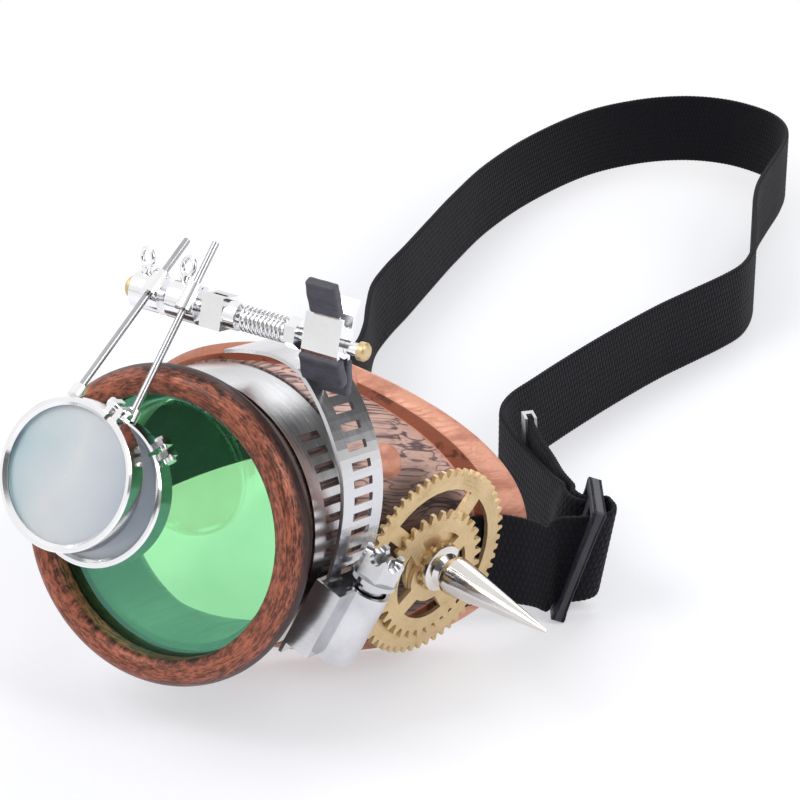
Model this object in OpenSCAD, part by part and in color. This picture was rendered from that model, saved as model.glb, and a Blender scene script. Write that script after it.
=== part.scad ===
// Steampunk monocle goggle: one eyecup with a screw-on green lens, a worm-drive
// band that carries a clip-on double loupe, a gear and spike ornament, and an elastic strap.
// Row frame: +Z up, -Y is the lens side, +X is the wearer's temple side.
// The origin is the centre of the lens ring's front opening. Millimetres.

/* [Stance] */
// How far the lens axis looks up when the goggle lies on a table
front_pitch = 13.5; // [12:0.5:15]
// Height of the lens ring's centre above the table
ring_height = 40.5; // [40:0.5:42]

/* [Lens ring] */
// Outside diameter of the lens ring
ring_d = 59.3; // [59:0.1:59.8]
// Clear opening of the lens ring
opening_d = 48.5; // [47.5:0.5:49]
// Depth of the lens ring along the lens axis
ring_depth = 9.4; // [9:0.1:9.5]
// Diameter of the green lens
lens_d = 50; // [49.8:0.1:50.2]
// Thickness of the green lens
lens_t = 2.2; // [1.8:0.1:2.3]

/* [Eyecup] */
// Outside diameter of the smooth barrel under the clamp band
barrel_d = 52.8; // [52.4:0.1:53]
// Thickness of the eyecup wall
wall = 2.4; // [2:0.1:2.8]
// Reach of the face rim toward the temple, from the lens axis
rim_temple = 41; // [40:0.5:42]
// Reach of the face rim toward the nose
rim_nose = 30.5; // [30:0.5:32]
// Half height of the face rim
rim_half_height = 29.8; // [29:0.1:30.2]
// How far the rim drops at the temple
rim_droop = 6.2; // [5:0.1:7]
// Depth of the moulded bead round the rim
bead = 3.8; // [3:0.1:4.5]

/* [Clamp band] */
// Width of the worm-drive band
band_w = 14.2; // [12.7:0.1:14.2]
// Thickness of the band
band_t = 0.7; // [0.6:0.1:0.8]
// Spacing of the worm slots
slot_pitch = 3.0; // [2.8:0.1:3.2]

/* [Loupe] */
// Outside diameter of a loupe ring
loupe_d = 27.4; // [27:0.1:27.6]
// Diameter of the loupe lens
loupe_lens_d = 25; // [24.8:0.1:25.2]
// Diameter of the rod that carries the loupes
rod_d = 2.4; // [2.2:0.1:2.5]
// Diameter of the loupe wires
wire_d = 1.3; // [1.2:0.1:1.6]
// Number of curls of the tension spring
spring_curls = 10; // [6:1:10]

/* [Ornament] */
// Outside diameter of the large gear
gear_d = 38; // [36:0.2:38.2]
// Length of the spike's cone
spike_len = 24; // [20:0.5:26]

/* [Strap] */
// Width of the elastic
strap_w = 19; // [18:0.5:19.5]
// Thickness of the elastic
strap_t = 1.3; // [1.1:0.1:1.4]

/* [Hidden] */

$fn = 64;
fit = 0.05;           // radial clearance of a running fit
floor_z = -ring_height;

// Lens ring and barrel, along the lens axis
lip_y = 4.2;                     // back of the ring's front lip
lip_round = 1.7;                 // depth of the lip's rounding on the inside
lip_back = 4.2;                  // depth at which the ring is widest
ring_back_r = 27.3;              // the ring narrows to this at its back edge
lens_y = lip_y + 0.1;
gasket_t = 1;
barrel_y = lens_y + lens_t + gasket_t;
thread_r = 25.3;                 // outside of the barrel's threaded nose
shoulder_y = ring_depth + 0.4;
band_y = shoulder_y + 0.6;       // front edge of the clamp band
flange_y = band_y + band_w + 0.2;
bore_r = 22.8;                   // inside of the barrel
barrel_r = barrel_d / 2;
band_r = barrel_r + 0.04;        // inside of the clamp band

// Face rim
function clampx(x) = max(0, x + 10) / 44.5;
function rim_front_y(x) = 26.8 + 33.2 * pow(clampx(x), 1.2);
function droop(x) = x <= 0 ? 0 : let(u = pow(x / rim_temple, 2)) -rim_droop * u / (u + 0.25);
// A point on an egg of temple reach a, nose reach b and half height h, at angle t
function egg(t, a, b, h) =
  let(x = cos(t) * (cos(t) > 0 ? a : b)) [x, h * sin(t) + droop(x)];
function at_y(p, y) = [p[0], y, p[1]];
function ring_at(r, y, sides) = [for (i = [0:sides - 1]) let(t = i * 360 / sides)
  [r * cos(t), y, r * sin(t)]];
cup_sides = 72;
flank_steps = 7;

function flank(r0, y0, a, b, h, s, lift) = [for (i = [0:cup_sides - 1])
  let(t = i * 360 / cup_sides, e = egg(t, a, b, h), w = pow(s, 1.35),
      y1 = rim_front_y(e[0]) + lift)
  [r0 * cos(t) * (1 - w) + e[0] * w, y0 * (1 - s) + y1 * s, r0 * sin(t) * (1 - w) + e[1] * w]];
function rim_loop(inset, lift) = [for (i = [0:cup_sides - 1])
  let(t = i * 360 / cup_sides,
      e = egg(t, rim_temple - inset, rim_nose - inset, rim_half_height - inset),
      o = egg(t, rim_temple, rim_nose, rim_half_height))
  at_y(e, rim_front_y(o[0]) + lift)];

// Gear and spike ornament: centre and the way it faces, in the goggle's own frame
gear_c = [33, 44.2, -6.6];
gear_turn = -14;
gear_dip = 9.4;
gear_t = 0.9;
spoke_w = 3.2;
medium_off = [2.2, -0.4];
stud_r = 1.5;

// Rod and clip, in the goggle's own frame
rod_y = 8.6;
rod_z = 39;
clip_roll = 2.4;                 // the clip sits a little askew on the band
rod_x0 = -14.5;
rod_x1 = 32.6;
bracket_x = 1;
bracket_end = 7.9;
nut_x = 18.4;
collar_front_x = -11;
collar_rear_x = -3.2;
collar_r = 3.5;
wire_off = 2.5;                  // wire axis to rod axis
screw_off = 1.8;                 // thumb screw's place from the collar's middle
wire_front_tilt = 50;            // from straight down toward the front
wire_rear_tilt = 34.5;
clip_x0 = 22.8;
clip_x1 = 31;

// Slider: its middle, the turn of its face and how far its top leans outward
slider_c = [46.1, 77.9];
slider_turn = 30;
slider_lean = 18;
slider_mid = 12.6;               // height of its middle above the table
slider_t = 2.7;
bar = 1.7;                       // width of its outer bars
slot_c = 3.9;                    // slot centre from the middle
slot_w = 4.6;
lean_dir = [cos(slider_turn), sin(slider_turn)];

// Elastic strap: points [x, y, height above the table, lean of the top edge along lean_dir].
// A point by the slider is given across its face (n) and along it (t), at mid height.
function by_slider(n, t, lean) = let(q = slider_c + (n - lean / 2) * lean_dir
  + t * [-lean_dir[1], lean_dir[0]]) [q[0], q[1], slider_mid - strap_w / 2, lean];
strap_main_route = [by_slider(2.2, 2.9, 6), by_slider(0.6, 3, 6), by_slider(-1.6, 3.2, 6),
  by_slider(-3.3, 4.2, 6), by_slider(-4.4, 6, 6), by_slider(-4.5, 8.4, 5),
  by_slider(-3.8, 11, 3), [35, 89.8, 2, 0], [30.4, 94.4, 1, 0], [23, 101.6, 0, 0],
  [14.6, 109.4, 0, 0], [9.2, 116, 0, 0], [7.2, 124, 0, 0], [7.8, 134, 0, 0], [9, 148, 0, 0],
  [11, 165, 0, 0], [14, 184, 0, 0], [17, 197, 0, 0], [19.8, 209, 0, 0], [20.8, 218, 0, 0],
  [19, 228, 0, 0], [15, 238, 0, 0], [10.2, 249.6, 0, 0], [5, 262, 0, 0], [1.8, 272, 0, 0],
  [-0.6, 284, 0, 0], [-3.4, 299, 0, 0], [-7, 311, 0, 0], [-13, 319.6, 0, 0], [-21, 324.6, 0, 0],
  [-32, 326.6, 0, 0], [-43, 323.4, 0, 0], [-53, 314, 0, 0], [-61, 298, 0, 0], [-65, 273, 0, 0],
  [-65, 248, 0, 0], [-62, 225, 0, 0], [-58.4, 205, 0, 0], [-55.2, 188, 0, 0], [-53, 175, 0, 0],
  [-50, 163, 0, 0], [-45, 152, 0, 0], [-39.4, 141, 0, 0], [-35.6, 130, 0, 0], [-34.6, 118, 2, 0],
  [-36, 98, 6, 0], [-37, 76, 11, 0], [-36.6, 56, 15, 0], [-35.4, 43, 17, 0], [-34, 34, 18, 0],
  [-34, 27, 18, 0]];
strap_temple_route = [[33.5, 64.2, 3, 0], [37.2, 66.2, 3, 0], [41, 68.4, 3, 0],
  by_slider(-4.4, -4.6, 1), by_slider(-2, -4.1, 2), by_slider(0.6, -3.9, 2.4),
  by_slider(3.2, -3.2, 3), by_slider(5.2, -1.6, 3.2), by_slider(5.7, 0.8, 3.2),
  by_slider(5, 3.2, 3.4), by_slider(3.8, 4.5, 5), by_slider(2, 4.8, 6), by_slider(0.2, 4.8, 6),
  by_slider(-1.4, 5.1, 6), by_slider(-2.7, 6.4, 6), by_slider(-2.8, 8.2, 5),
  by_slider(-1.8, 10.4, 3), [36, 90.9, 3, 0], [31.4, 96, 3, 0], [26.4, 101.6, 3.6, -0.6],
  [20.6, 108.4, 4.4, -1]];

// Catmull-Rom point between b and c
function spline(a, b, c, d, u) = 0.5 * (2 * b + (c - a) * u
  + (2 * a - 5 * b + 4 * c - d) * u * u + (3 * b - a - 3 * c + d) * u * u * u);
function route(p, n) = let(m = len(p) - 1) concat([for (i = [0:m - 1], k = [0:n - 1])
  spline(p[max(0, i - 1)], p[i], p[i + 1], p[min(m, i + 2)], k / n)], [p[m]]);
function flat_dir(v) = let(w = [v[0], v[1]]) w / norm(w);

// Faces of a skin over loops of equal length: closed on itself, or with flat ends
function skin_faces(loops, sides, closed) = [for (j = [0:loops - (closed ? 1 : 2)], i = [0:sides - 1])
  let(a = j * sides, b = ((j + 1) % loops) * sides, k = (i + 1) % sides)
  each [[a + i, a + k, b + k], [a + i, b + k, b + i]]];
function end_faces(loops, sides) = [[for (i = [sides - 1:-1:0]) i],
  [for (i = [0:sides - 1]) (loops - 1) * sides + i]];

module goggle() {
  rotate([-front_pitch, 0, 0]) children();
}
// The clip's own frame: the rod runs along x
module clip() {
  goggle() translate([clip_x0, rod_y, rod_z]) rotate([0, clip_roll, 0])
    translate([-clip_x0, -rod_y, -rod_z]) children();
}
module along_lens(y = 0) {
  translate([0, y, 0]) rotate([-90, 0, 0]) children();
}
module along_x(x, y, z) {
  translate([x, y, z]) rotate([0, 90, 0]) children();
}
module tube(r_out, r_in, h) {
  difference() {
    cylinder(r = r_out, h = h);
    translate([0, 0, -1]) cylinder(r = r_in, h = h + 2);
  }
}

module eyecup() {
  outer = concat([ring_at(thread_r, barrel_y, cup_sides), ring_at(thread_r, shoulder_y, cup_sides),
    ring_at(barrel_r, shoulder_y, cup_sides), ring_at(barrel_r, flange_y, cup_sides),
    ring_at(27.4, flange_y, cup_sides), ring_at(27.4, flange_y + 0.8, cup_sides),
    ring_at(26.2, flange_y + 1.2, cup_sides)],
    [for (k = [1:flank_steps])
      flank(26.2, flange_y + 1.2, 34.5, 27, 26.6, k / flank_steps, 0)],
    [rim_loop(0.5, 0), rim_loop(0, 0.5), rim_loop(0, bead - 0.5), rim_loop(0.5, bead),
     rim_loop(3, bead), rim_loop(3.6, bead - 0.6)]);
  inner = concat([for (k = [flank_steps - 1:-1:0])
      flank(bore_r, flange_y, 34.5 - wall, 27 - wall, 26.6 - wall, k / flank_steps, bead - 2)],
    [ring_at(bore_r, barrel_y, cup_sides)]);
  loops = concat(outer, inner);
  color("saddlebrown") difference() {
    union() {
      goggle() polyhedron([for (l = loops) each l], skin_faces(len(loops), cup_sides, true), 4);
      goggle() vent_bumps();
      nose_lug();
    }
    temple_slot();
    at_gear(-9) cylinder(r = stud_r + fit, h = 9);
  }
}
// Raised vents on the flank
module vent_bumps() {
  for (s = [[12, 40, 24.5, 12], [24, 38, 11.4, 60]])
    translate([s[0], s[1], s[2]]) rotate([0, s[3], 0]) vent();
}
module vent() {
  hull() {
    translate([0, -3.6, -0.6]) sphere(r = 1, $fn = 16);
    translate([-2.6, 3, -0.4]) sphere(r = 1.4, $fn = 16);
    translate([2.6, 3, -0.4]) sphere(r = 1.4, $fn = 16);
    translate([0, 1.5, 1.2]) sphere(r = 1.2, $fn = 16);
  }
}
// Window at the temple tip that the elastic leaves through
module temple_slot() {
  translate([37.2, 66.2, floor_z + 3 + strap_w / 2]) rotate([0, 0, 28])
    cube([12, strap_t + 1.4, strap_w + 1.6], center = true);
}
// Loop beside the nose edge for the other end of the elastic
module nose_lug() {
  translate([-34, 30.5, floor_z + 18 + strap_w / 2]) difference() {
    cube([8.4, 3.4, strap_w + 6], center = true);
    cube([strap_t + 1.4, 6, strap_w + 1.6], center = true);
  }
}

module lens_ring() {
  r = ring_d / 2;
  ri = opening_d / 2;
  mid = (r + ri) / 2;
  half = (r - ri) / 2;
  color("peru") goggle() along_lens() rotate_extrude($fn = 96)
    polygon(concat([for (a = [180:-10:0])
        [mid + half * cos(a), (a > 90 ? lip_round : lip_back) * (1 - sin(a))]],
      [[r - 0.3, lip_back + 1], [ring_back_r, ring_depth - 0.4], [ring_back_r - 0.4, ring_depth],
       [thread_r + fit, ring_depth],
       [thread_r + fit, lip_y], [ri, lip_y]]));
}
module green_lens() {
  color([0.2, 0.75, 0.25, 0.6]) goggle() along_lens(lens_y) cylinder(d = lens_d, h = lens_t);
}
module lens_gasket() {
  color("dimgray") goggle() along_lens(lens_y + lens_t) tube(lens_d / 2, 23, gasket_t);
}

// Worm slots: count of them, spaced along a circle of radius r from angle a0
module ring_slots(r, a0, count) {
  step = slot_pitch / r * 180 / PI;
  for (i = [0:count - 1])
    rotate([0, 0, a0 + i * step]) translate([r, 0, band_w / 2]) cube([6, 1.5, 6.6], center = true);
}
module clamp_band() {
  color("silver") goggle() along_lens(band_y) difference() {
    tube(band_r + band_t, band_r, band_w);
    ring_slots(band_r, -44, 13);
  }
}
// The loose end of the band, which springs off the barrel on the temple side.
// Points in the x, z plane of the goggle, from the worm housing up over the barrel.
tail_route = [[28.8, -9], [30.6, -3], [31.6, 4], [31.6, 10], [30.4, 16], [27.4, 22.4],
  [23.6, 28], [19.4, 32], [14, 33.6], [8, 33.2], [4.2, 32.4]];
function side_of(p, i, d) = let(n = len(p) - 1, v = p[min(n, i + 1)] - p[max(0, i - 1)],
  u = v / norm(v)) p[i] + d * [u[1], -u[0]];
module clamp_tail() {
  mid = route(tail_route, 4);
  n = len(mid) - 1;
  color("gainsboro") goggle() difference() {
    translate([0, band_y + band_w, 0]) rotate([90, 0, 0]) linear_extrude(band_w)
      polygon(concat([for (i = [0:n]) side_of(mid, i, band_t / 2)],
        [for (i = [n:-1:0]) side_of(mid, i, -band_t / 2)]));
    for (i = [4:2:n - 12]) let(v = mid[i + 1] - mid[i - 1])
      translate([mid[i][0], band_y + band_w / 2, mid[i][1]])
        rotate([0, -atan2(v[1], v[0]), 0]) cube([1.5, 6.6, 3], center = true);
  }
}

// Housing of the worm: a channel over the band and a round roof over the screw
screw_a = -22.5;                   // place round the barrel, below the x axis
worm_r = 34.6;                   // worm axis from the lens axis
module at_worm() {
  goggle() rotate([0, -screw_a, 0]) translate([worm_r, band_y + band_w / 2, 0]) children();
}
module clamp_housing() {
  color("silver") at_worm() {
    difference() {
      union() {
        translate([-6.6, -7.8, -7]) cube([5.6, 15.6, 14]);
        translate([0, 0, -7]) cylinder(r = 4.3, h = 15);
        translate([-4.2, -4.3, -7]) cube([4.2, 8.6, 15]);
      }
      translate([-5.9, -band_w / 2 - 0.15, -8]) cube([4.3, band_w + 0.3, 16]);
      translate([0, 0, -8]) cylinder(r = 3.55, h = 18);
      translate([-4, -2.8, -8]) cube([4, 5.6, 16]);
    }
    translate([-6.6, -7.8, -9.2]) cube([0.7, 15.6, 2.3]);
  }
}
crown_h = 4.4;                   // height of the screw's notched head
module clamp_screw() {
  color("whitesmoke") at_worm() {
    translate([0, 0, -6.6]) cylinder(r = 3, h = 17);
    for (k = [0:5]) translate([0, 0, -6 + k * 2.2])
      rotate_extrude() polygon([[2.9, 0], [3.45, 0.5], [3.45, 0.9], [2.9, 1.4]]);
    translate([0, 0, 10]) difference() {
      union() {
        cylinder(r = 4.4, h = 0.9);
        translate([0, 0, 0.9]) cylinder(r = 4.2, h = crown_h, $fn = 6);
      }
      translate([0, 0, 0.9 + crown_h - 2.2]) cylinder(r = 2.4, h = 4);
      for (k = [0:2]) rotate([0, 0, 30 + k * 60]) translate([-6, 0, 0.9 + crown_h])
        rotate([0, 90, 0]) cylinder(r = 1.3, h = 12);
    }
  }
}

// Clip: points of the plates in the y, z plane of the goggle
lever_path = [[2.4, 50.1], [6, 44.1], [6, 37.5], [9.2, 32]];
body_path = [[13.6, 46.3], [12.2, 43.8], [12.2, 36.8], [14, 29]];
plate_t = 0.8;
module bent_plate(path, x0, x1) {
  n = len(path) - 1;
  translate([x0, 0, 0]) rotate([90, 0, 90]) linear_extrude(x1 - x0)
    polygon(concat([for (i = [0:n]) side_of(path, i, plate_t / 2)],
      [for (i = [n:-1:0]) side_of(path, i, -plate_t / 2)]));
}
// Everything from the lens axis out to the band's loose end, and a gap beyond it
module tail_zone(gap = band_t / 2 + 0.02) {
  mid = route(tail_route, 4);
  edge = [for (i = [0:len(mid) - 1]) side_of(mid, i, gap)];
  goggle() translate([0, band_y + band_w + 1, 0]) rotate([90, 0, 0]) linear_extrude(band_w + 1.4)
    polygon(concat(edge, [[0, 0]]));
}
// Two ears with a hole for the rod, joined to a plate at height z
module ears(x0, x1, r, y, z, h) {
  for (x = [x0, x1 - plate_t]) hull() {
    along_x(x, rod_y, rod_z) cylinder(r = r, h = plate_t, $fn = 32);
    translate([x, y, z]) cube([plate_t, plate_t * 0.8, h]);
  }
}
body_x0 = clip_x0 + 1;
body_x1 = clip_x1 - 2.4;
lever_x0 = clip_x0 - 0.3;
lever_x1 = clip_x1 - 1.1;
module clip_body() {
  color("whitesmoke") difference() {
    clip() difference() {
      union() {
        bent_plate(body_path, body_x0, body_x1);
        bent_plate([body_path[2], body_path[3]], body_x0 - 2.6, body_x1);
        ears(body_x0, body_x1, 2, 11.6, 36.4, 5.2);
      }
      along_x(clip_x0 - 1, rod_y, rod_z) cylinder(d = rod_d + 2 * fit, h = 12);
    }
    tail_zone();
  }
}
module clip_lever() {
  color("white") clip() difference() {
    union() {
      bent_plate([lever_path[0], lever_path[1]], lever_x0 + 1.6, lever_x1 - 0.8);
      bent_plate([for (i = [1:3]) lever_path[i]], lever_x0, lever_x1);
      ears(lever_x0, lever_x1, 2.2, 5.8, 37.8, 5.4);
    }
    along_x(clip_x0 - 1, rod_y, rod_z) cylinder(d = rod_d + 2 * fit, h = 12);
  }
}
// A rubber sleeve round the end of a plate, from point a to point b
module sleeve(a, b, x0, x1, t) {
  v = b - a;
  translate([(x0 + x1) / 2, a[0], a[1]]) rotate([atan2(v[1], v[0]), 0, 0]) difference() {
    translate([-(x1 - x0) / 2 - t, 0, -plate_t / 2 - t])
      cube([x1 - x0 + 2 * t, norm(v), plate_t + 2 * t]);
    translate([-(x1 - x0) / 2 - fit, -1, -plate_t / 2 - fit])
      cube([x1 - x0 + 2 * fit, norm(v) + 2, plate_t + 2 * fit]);
  }
}
module upper_sleeve() {
  color("darkslategray") clip() sleeve(lever_path[1] + [-0.36, 0.6], lever_path[0],
    lever_x0 + 1.6, lever_x1 - 0.8, 0.6);
}
module lever_sleeve() {
  color("darkslategray") clip() sleeve(lever_path[2] + [0.5, -0.86], lever_path[3] + [0.15, -0.26],
    lever_x0, lever_x1, 0.6);
}
module jaw_sleeve() {
  color("darkslategray") difference() {
    clip() sleeve(body_path[2] + [0.25, -1.1], body_path[3], body_x0 - 2.6, body_x1, 0.5);
    tail_zone();
  }
}

// A spring about x whose ends bend over and run straight along x for one wire diameter
function helix_at(t, r, pitch) = [t * pitch, r * cos(t * 360), r * sin(t * 360)];
// A ring of the wire round c, between the radial direction and the direction v
function wire_ring(c, out, v, wr) = [for (k = [0:5]) c + wr * (cos(k * 60) * out + sin(k * 60) * v)];
// Centre and sideways direction of step k of an end: side is -1 at the start and 1 at the end
function end_centre(c, k, side, bend, wr) = let(a = min(k, 3) * 30)
  c + [side * (bend * (1 - cos(a)) + (k > 3 ? 2 * wr : 0)), 0, side * bend * sin(a)];
function end_side(k, side) = let(a = min(k, 3) * 30) [cos(a), 0, -sin(a)];
function spring_centres(turns, r, pitch, bend, wr) = concat(
  [for (k = [4:-1:1]) end_centre(helix_at(0, r, pitch), k, -1, bend, wr)],
  [for (i = [0:turns * 8]) helix_at(i / 8, r, pitch)],
  [for (k = [1:4]) end_centre(helix_at(turns, r, pitch), k, 1, bend, wr)]);
module spring(turns, r, pitch, bend, wr) {
  c = spring_centres(turns, r, pitch, bend, wr);
  n = len(c);
  loops = concat(
    [for (k = [4:-1:1]) wire_ring(c[4 - k], [0, 1, 0], end_side(k, -1), wr)],
    [for (i = [0:turns * 8]) wire_ring(c[4 + i], [0, cos(i * 45), sin(i * 45)], [1, 0, 0], wr)],
    [for (k = [1:4]) wire_ring(c[n - 5 + k], [0, 1, 0], end_side(k, 1), wr)]);
  polyhedron([for (l = loops) each l], concat(skin_faces(n, 6, false), end_faces(n, 6)), 4);
}
// Least gap of a spring's wire to itself, from its own points
function least_gap(c, wr) = min([for (i = [0:len(c) - 7], j = [i + 6:len(c) - 1]) norm(c[i] - c[j])])
  - 2 * wr;

spring_wire = 0.46;
spring_bend = 0.3;
spring_r = 2.2;
spring_x0 = bracket_end + spring_bend + spring_wire + 0.02;
spring_pitch = (nut_x - bracket_end - 2 * (spring_bend + spring_wire) - 0.08) / spring_curls;
module tension_spring() {
  color("lightgray") clip() translate([spring_x0, rod_y, rod_z])
    spring(spring_curls, spring_r, spring_pitch, spring_bend, spring_wire / 2);
}
clip_wire = 0.3;
clip_bend = 0.15;
clip_curls = 3;
clip_pitch = (body_x1 - body_x0 - 2 * (plate_t + clip_bend + clip_wire + 0.02)) / clip_curls;
module clip_spring() {
  color("lightgray") clip()
    translate([body_x0 + plate_t + clip_bend + clip_wire + 0.02, rod_y, rod_z])
      spring(clip_curls, 1.7, clip_pitch, clip_bend, clip_wire / 2);
}
echo(spring_gap = least_gap(spring_centres(spring_curls, spring_r, spring_pitch, spring_bend,
  spring_wire / 2), spring_wire / 2));
echo(clip_spring_gap = least_gap(spring_centres(clip_curls, 1.7, clip_pitch, clip_bend,
  clip_wire / 2), clip_wire / 2));

module rod() {
  color("silver") clip() along_x(rod_x0, rod_y, rod_z) cylinder(d = rod_d, h = rod_x1 - rod_x0);
}
module cap(r, h) {
  rotate_extrude() polygon([[0, 0], [r, 0], [r, h * 0.6], [r * 0.8, h * 0.85], [r * 0.4, h], [0, h]]);
}
module rod_cap_left() {
  color("gold") clip() along_x(rod_x0, rod_y, rod_z) rotate([0, 180, 0]) cap(2, 1.9);
}
module rod_cap_right() {
  color("gold") clip() along_x(rod_x1, rod_y, rod_z) cap(1.7, 1.8);
}
module hex_nut() {
  color("silver") clip() along_x(nut_x, rod_y, rod_z) difference() {
    cylinder(r = 2.9, h = 2.2, $fn = 6);
    translate([0, 0, -1]) cylinder(d = rod_d + 2 * fit, h = 5);
  }
}
// Friction bracket: a slotted square body on the rod
module bracket() {
  color("silver") clip() along_x(bracket_x, rod_y, rod_z) difference() {
    union() {
      translate([-3, -2.6, 0]) cube([6, 5.2, 4.4]);
      translate([0, 0, 4.4]) cylinder(r = 2.6, h = bracket_end - bracket_x - 4.4);
    }
    translate([0, 0, -1]) cylinder(d = rod_d, h = 9);
    translate([-4, -0.5, 0.8]) cube([2.2, 1, 2.8]);
    translate([1.8, -0.5, 0.8]) cube([2.2, 1, 2.8]);
  }
}

// Local frame of a wire: z runs down the wire, through the collar at x
module at_wire(x, tilt) {
  clip() translate([x, rod_y, rod_z]) rotate([180 - tilt, 0, 0])
    translate([0, wire_off, 0]) children();
}
module collar(x, tilt, length) {
  color("whitesmoke") difference() {
    union() {
      clip() along_x(x - length / 2, rod_y, rod_z) cylinder(r = collar_r, h = length);
      at_wire(x + 1.2, tilt) translate([0, 0, -2.6]) cylinder(r = 1.7, h = 5.2);
    }
    clip() along_x(x - 5, rod_y, rod_z) cylinder(d = rod_d + 2 * fit, h = 10);
    at_wire(x + 1.2, tilt) translate([0, 0, -6]) cylinder(d = wire_d + 2 * fit, h = 12);
    at_screw(x - screw_off, tilt) translate([0, 0, 1.3]) cylinder(r = 0.8 + fit, h = 4);
  }
}
module at_screw(x, tilt) {
  clip() translate([x, rod_y, rod_z]) rotate([tilt - 45, 0, 0]) children();
}
module collar_front() { collar(collar_front_x, wire_front_tilt, 6.2); }
module collar_rear() { collar(collar_rear_x, wire_rear_tilt, 6.2); }
// Thumb screw with a bent wire loop for a head
module thumb_screw(x, tilt) {
  color("silver") at_screw(x, tilt) {
    translate([0, 0, 1.9]) cylinder(r = 0.8, h = 2.6);
    translate([0, 0, 3.7]) cylinder(r = 1, h = 0.7);
    translate([0, 0, 6.2]) rotate([0, 90, 70]) rotate_extrude()
      translate([1.65, 0]) circle(r = 0.45, $fn = 16);
  }
}
module thumb_screw_front() { thumb_screw(collar_front_x - screw_off, wire_front_tilt); }
module thumb_screw_rear() { thumb_screw(collar_rear_x - screw_off, wire_rear_tilt); }

wire_front_down = 27.4;
wire_rear_down = 25;
wire_up = 11.4;
module wire(x, tilt, down) {
  color("silver") at_wire(x + 1.2, tilt) translate([0, 0, -wire_up])
    cylinder(d = wire_d, h = wire_up + down);
}
module wire_front() { wire(collar_front_x, wire_front_tilt, wire_front_down); }
module wire_rear() { wire(collar_rear_x, wire_rear_tilt, wire_rear_down); }

// Loupe: hangs from the end of its wire. Its own axis looks up by loupe_pitch more.
loupe_pitch = 11;
loupe_depth = 4.4;
module at_loupe(x, tilt, down, turn) {
  at_wire(x + 1.2, tilt) translate([0, 0, down - 1]) rotate([tilt - 180, 0, 0])
    rotate([-loupe_pitch, 0, 0]) rotate([0, turn, 0]) translate([0, 0, -loupe_d / 2 - 1])
      rotate([-90, 0, 0]) children();
}
module loupe_ring(x, tilt, down, turn) {
  r = loupe_d / 2;
  color("gainsboro") difference() {
    union() {
      at_loupe(x, tilt, down, turn) {
        rotate_extrude() polygon([[r - 0.9, -2.2], [r - 0.3, -2.2], [r, -1.8], [r, 1.8],
          [r - 0.3, 2.2], [r - 0.9, 2.2], [r - 1.5, 1.6], [r - 1.5, 1.4], [r - 1, 1.2],
          [r - 1, -1.2], [r - 1.5, -1.4], [r - 1.5, -1.6]]);
        rotate([0, 0, 36]) for (s = [-1.6, 0.5])
          translate([s, -r - 2.4, -1.6]) cube([1.1, 2.8, 3.2]);
      }
      at_wire(x + 1.2, tilt) translate([0, 0, down - 2]) cylinder(r = 1.3, h = 2.3);
    }
    at_wire(x + 1.2, tilt) translate([0, 0, down - 6]) cylinder(d = wire_d + 2 * fit, h = 6.1);
    at_loupe(x, tilt, down, turn) rotate([0, 0, 36]) {
      translate([-0.35, -r - 3, -3]) cube([0.7, 4, 6]);
      translate([-3, -r - 1.3, 0]) rotate([0, 90, 0]) cylinder(r = 0.6 + fit, h = 6);
    }
  }
}
module loupe_lens(x, tilt, down, turn) {
  r = loupe_lens_d / 2;
  color([0.8, 0.9, 0.95, 0.5]) at_loupe(x, tilt, down, turn)
    rotate_extrude($fn = 96) polygon(concat(
      [for (a = [0:6]) [r * a / 6, 1.35 - 0.6 * pow(a / 6, 2)]],
      [for (a = [6:-1:0]) [r * a / 6, 0.6 * pow(a / 6, 2) - 1.35]]));
}
module loupe_screw(x, tilt, down, turn) {
  r = loupe_d / 2;
  color("silver") at_loupe(x, tilt, down, turn) rotate([0, 0, 36])
    translate([-2.2, -r - 1.3, 0]) rotate([0, 90, 0]) {
      cylinder(r = 0.6, h = 4.6);
      translate([0, 0, 3.88]) cylinder(r = 1.1, h = 0.9);
      translate([0, 0, -0.18]) cylinder(r = 1, h = 0.7, $fn = 6);
    }
}
front_turn = -10;
rear_turn = 10.5;
module loupe_ring_front() {
  loupe_ring(collar_front_x, wire_front_tilt, wire_front_down, front_turn);
}
module loupe_ring_rear() {
  loupe_ring(collar_rear_x, wire_rear_tilt, wire_rear_down, rear_turn);
}
module loupe_lens_front() {
  loupe_lens(collar_front_x, wire_front_tilt, wire_front_down, front_turn);
}
module loupe_lens_rear() {
  loupe_lens(collar_rear_x, wire_rear_tilt, wire_rear_down, rear_turn);
}
module loupe_screw_front() {
  loupe_screw(collar_front_x, wire_front_tilt, wire_front_down, front_turn);
}
module loupe_screw_rear() {
  loupe_screw(collar_rear_x, wire_rear_tilt, wire_rear_down, rear_turn);
}

// Local frame of the ornament: z points out of the flank, along the spike
module at_gear(z = 0) {
  goggle() translate(gear_c) rotate([0, 0, gear_turn]) rotate([0, 90 + gear_dip, 0])
    translate([0, 0, z]) children();
}
module toothed(r, teeth, tooth) {
  polygon([for (i = [0:teeth - 1], k = [[0, 0], [0.22, 1], [0.5, 1], [0.72, 0]])
    let(a = (i + k[0]) * 360 / teeth, q = r - tooth + tooth * k[1]) [q * cos(a), q * sin(a)]]);
}
// A wheel with four arc-shaped windows between a hub and a rim
module gear(r, teeth, tooth, hub, rim_r, a0) {
  linear_extrude(gear_t) difference() {
    toothed(r, teeth, tooth);
    for (i = [0:3]) rotate(a0 + i * 90) window(hub, rim_r);
  }
}
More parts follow.
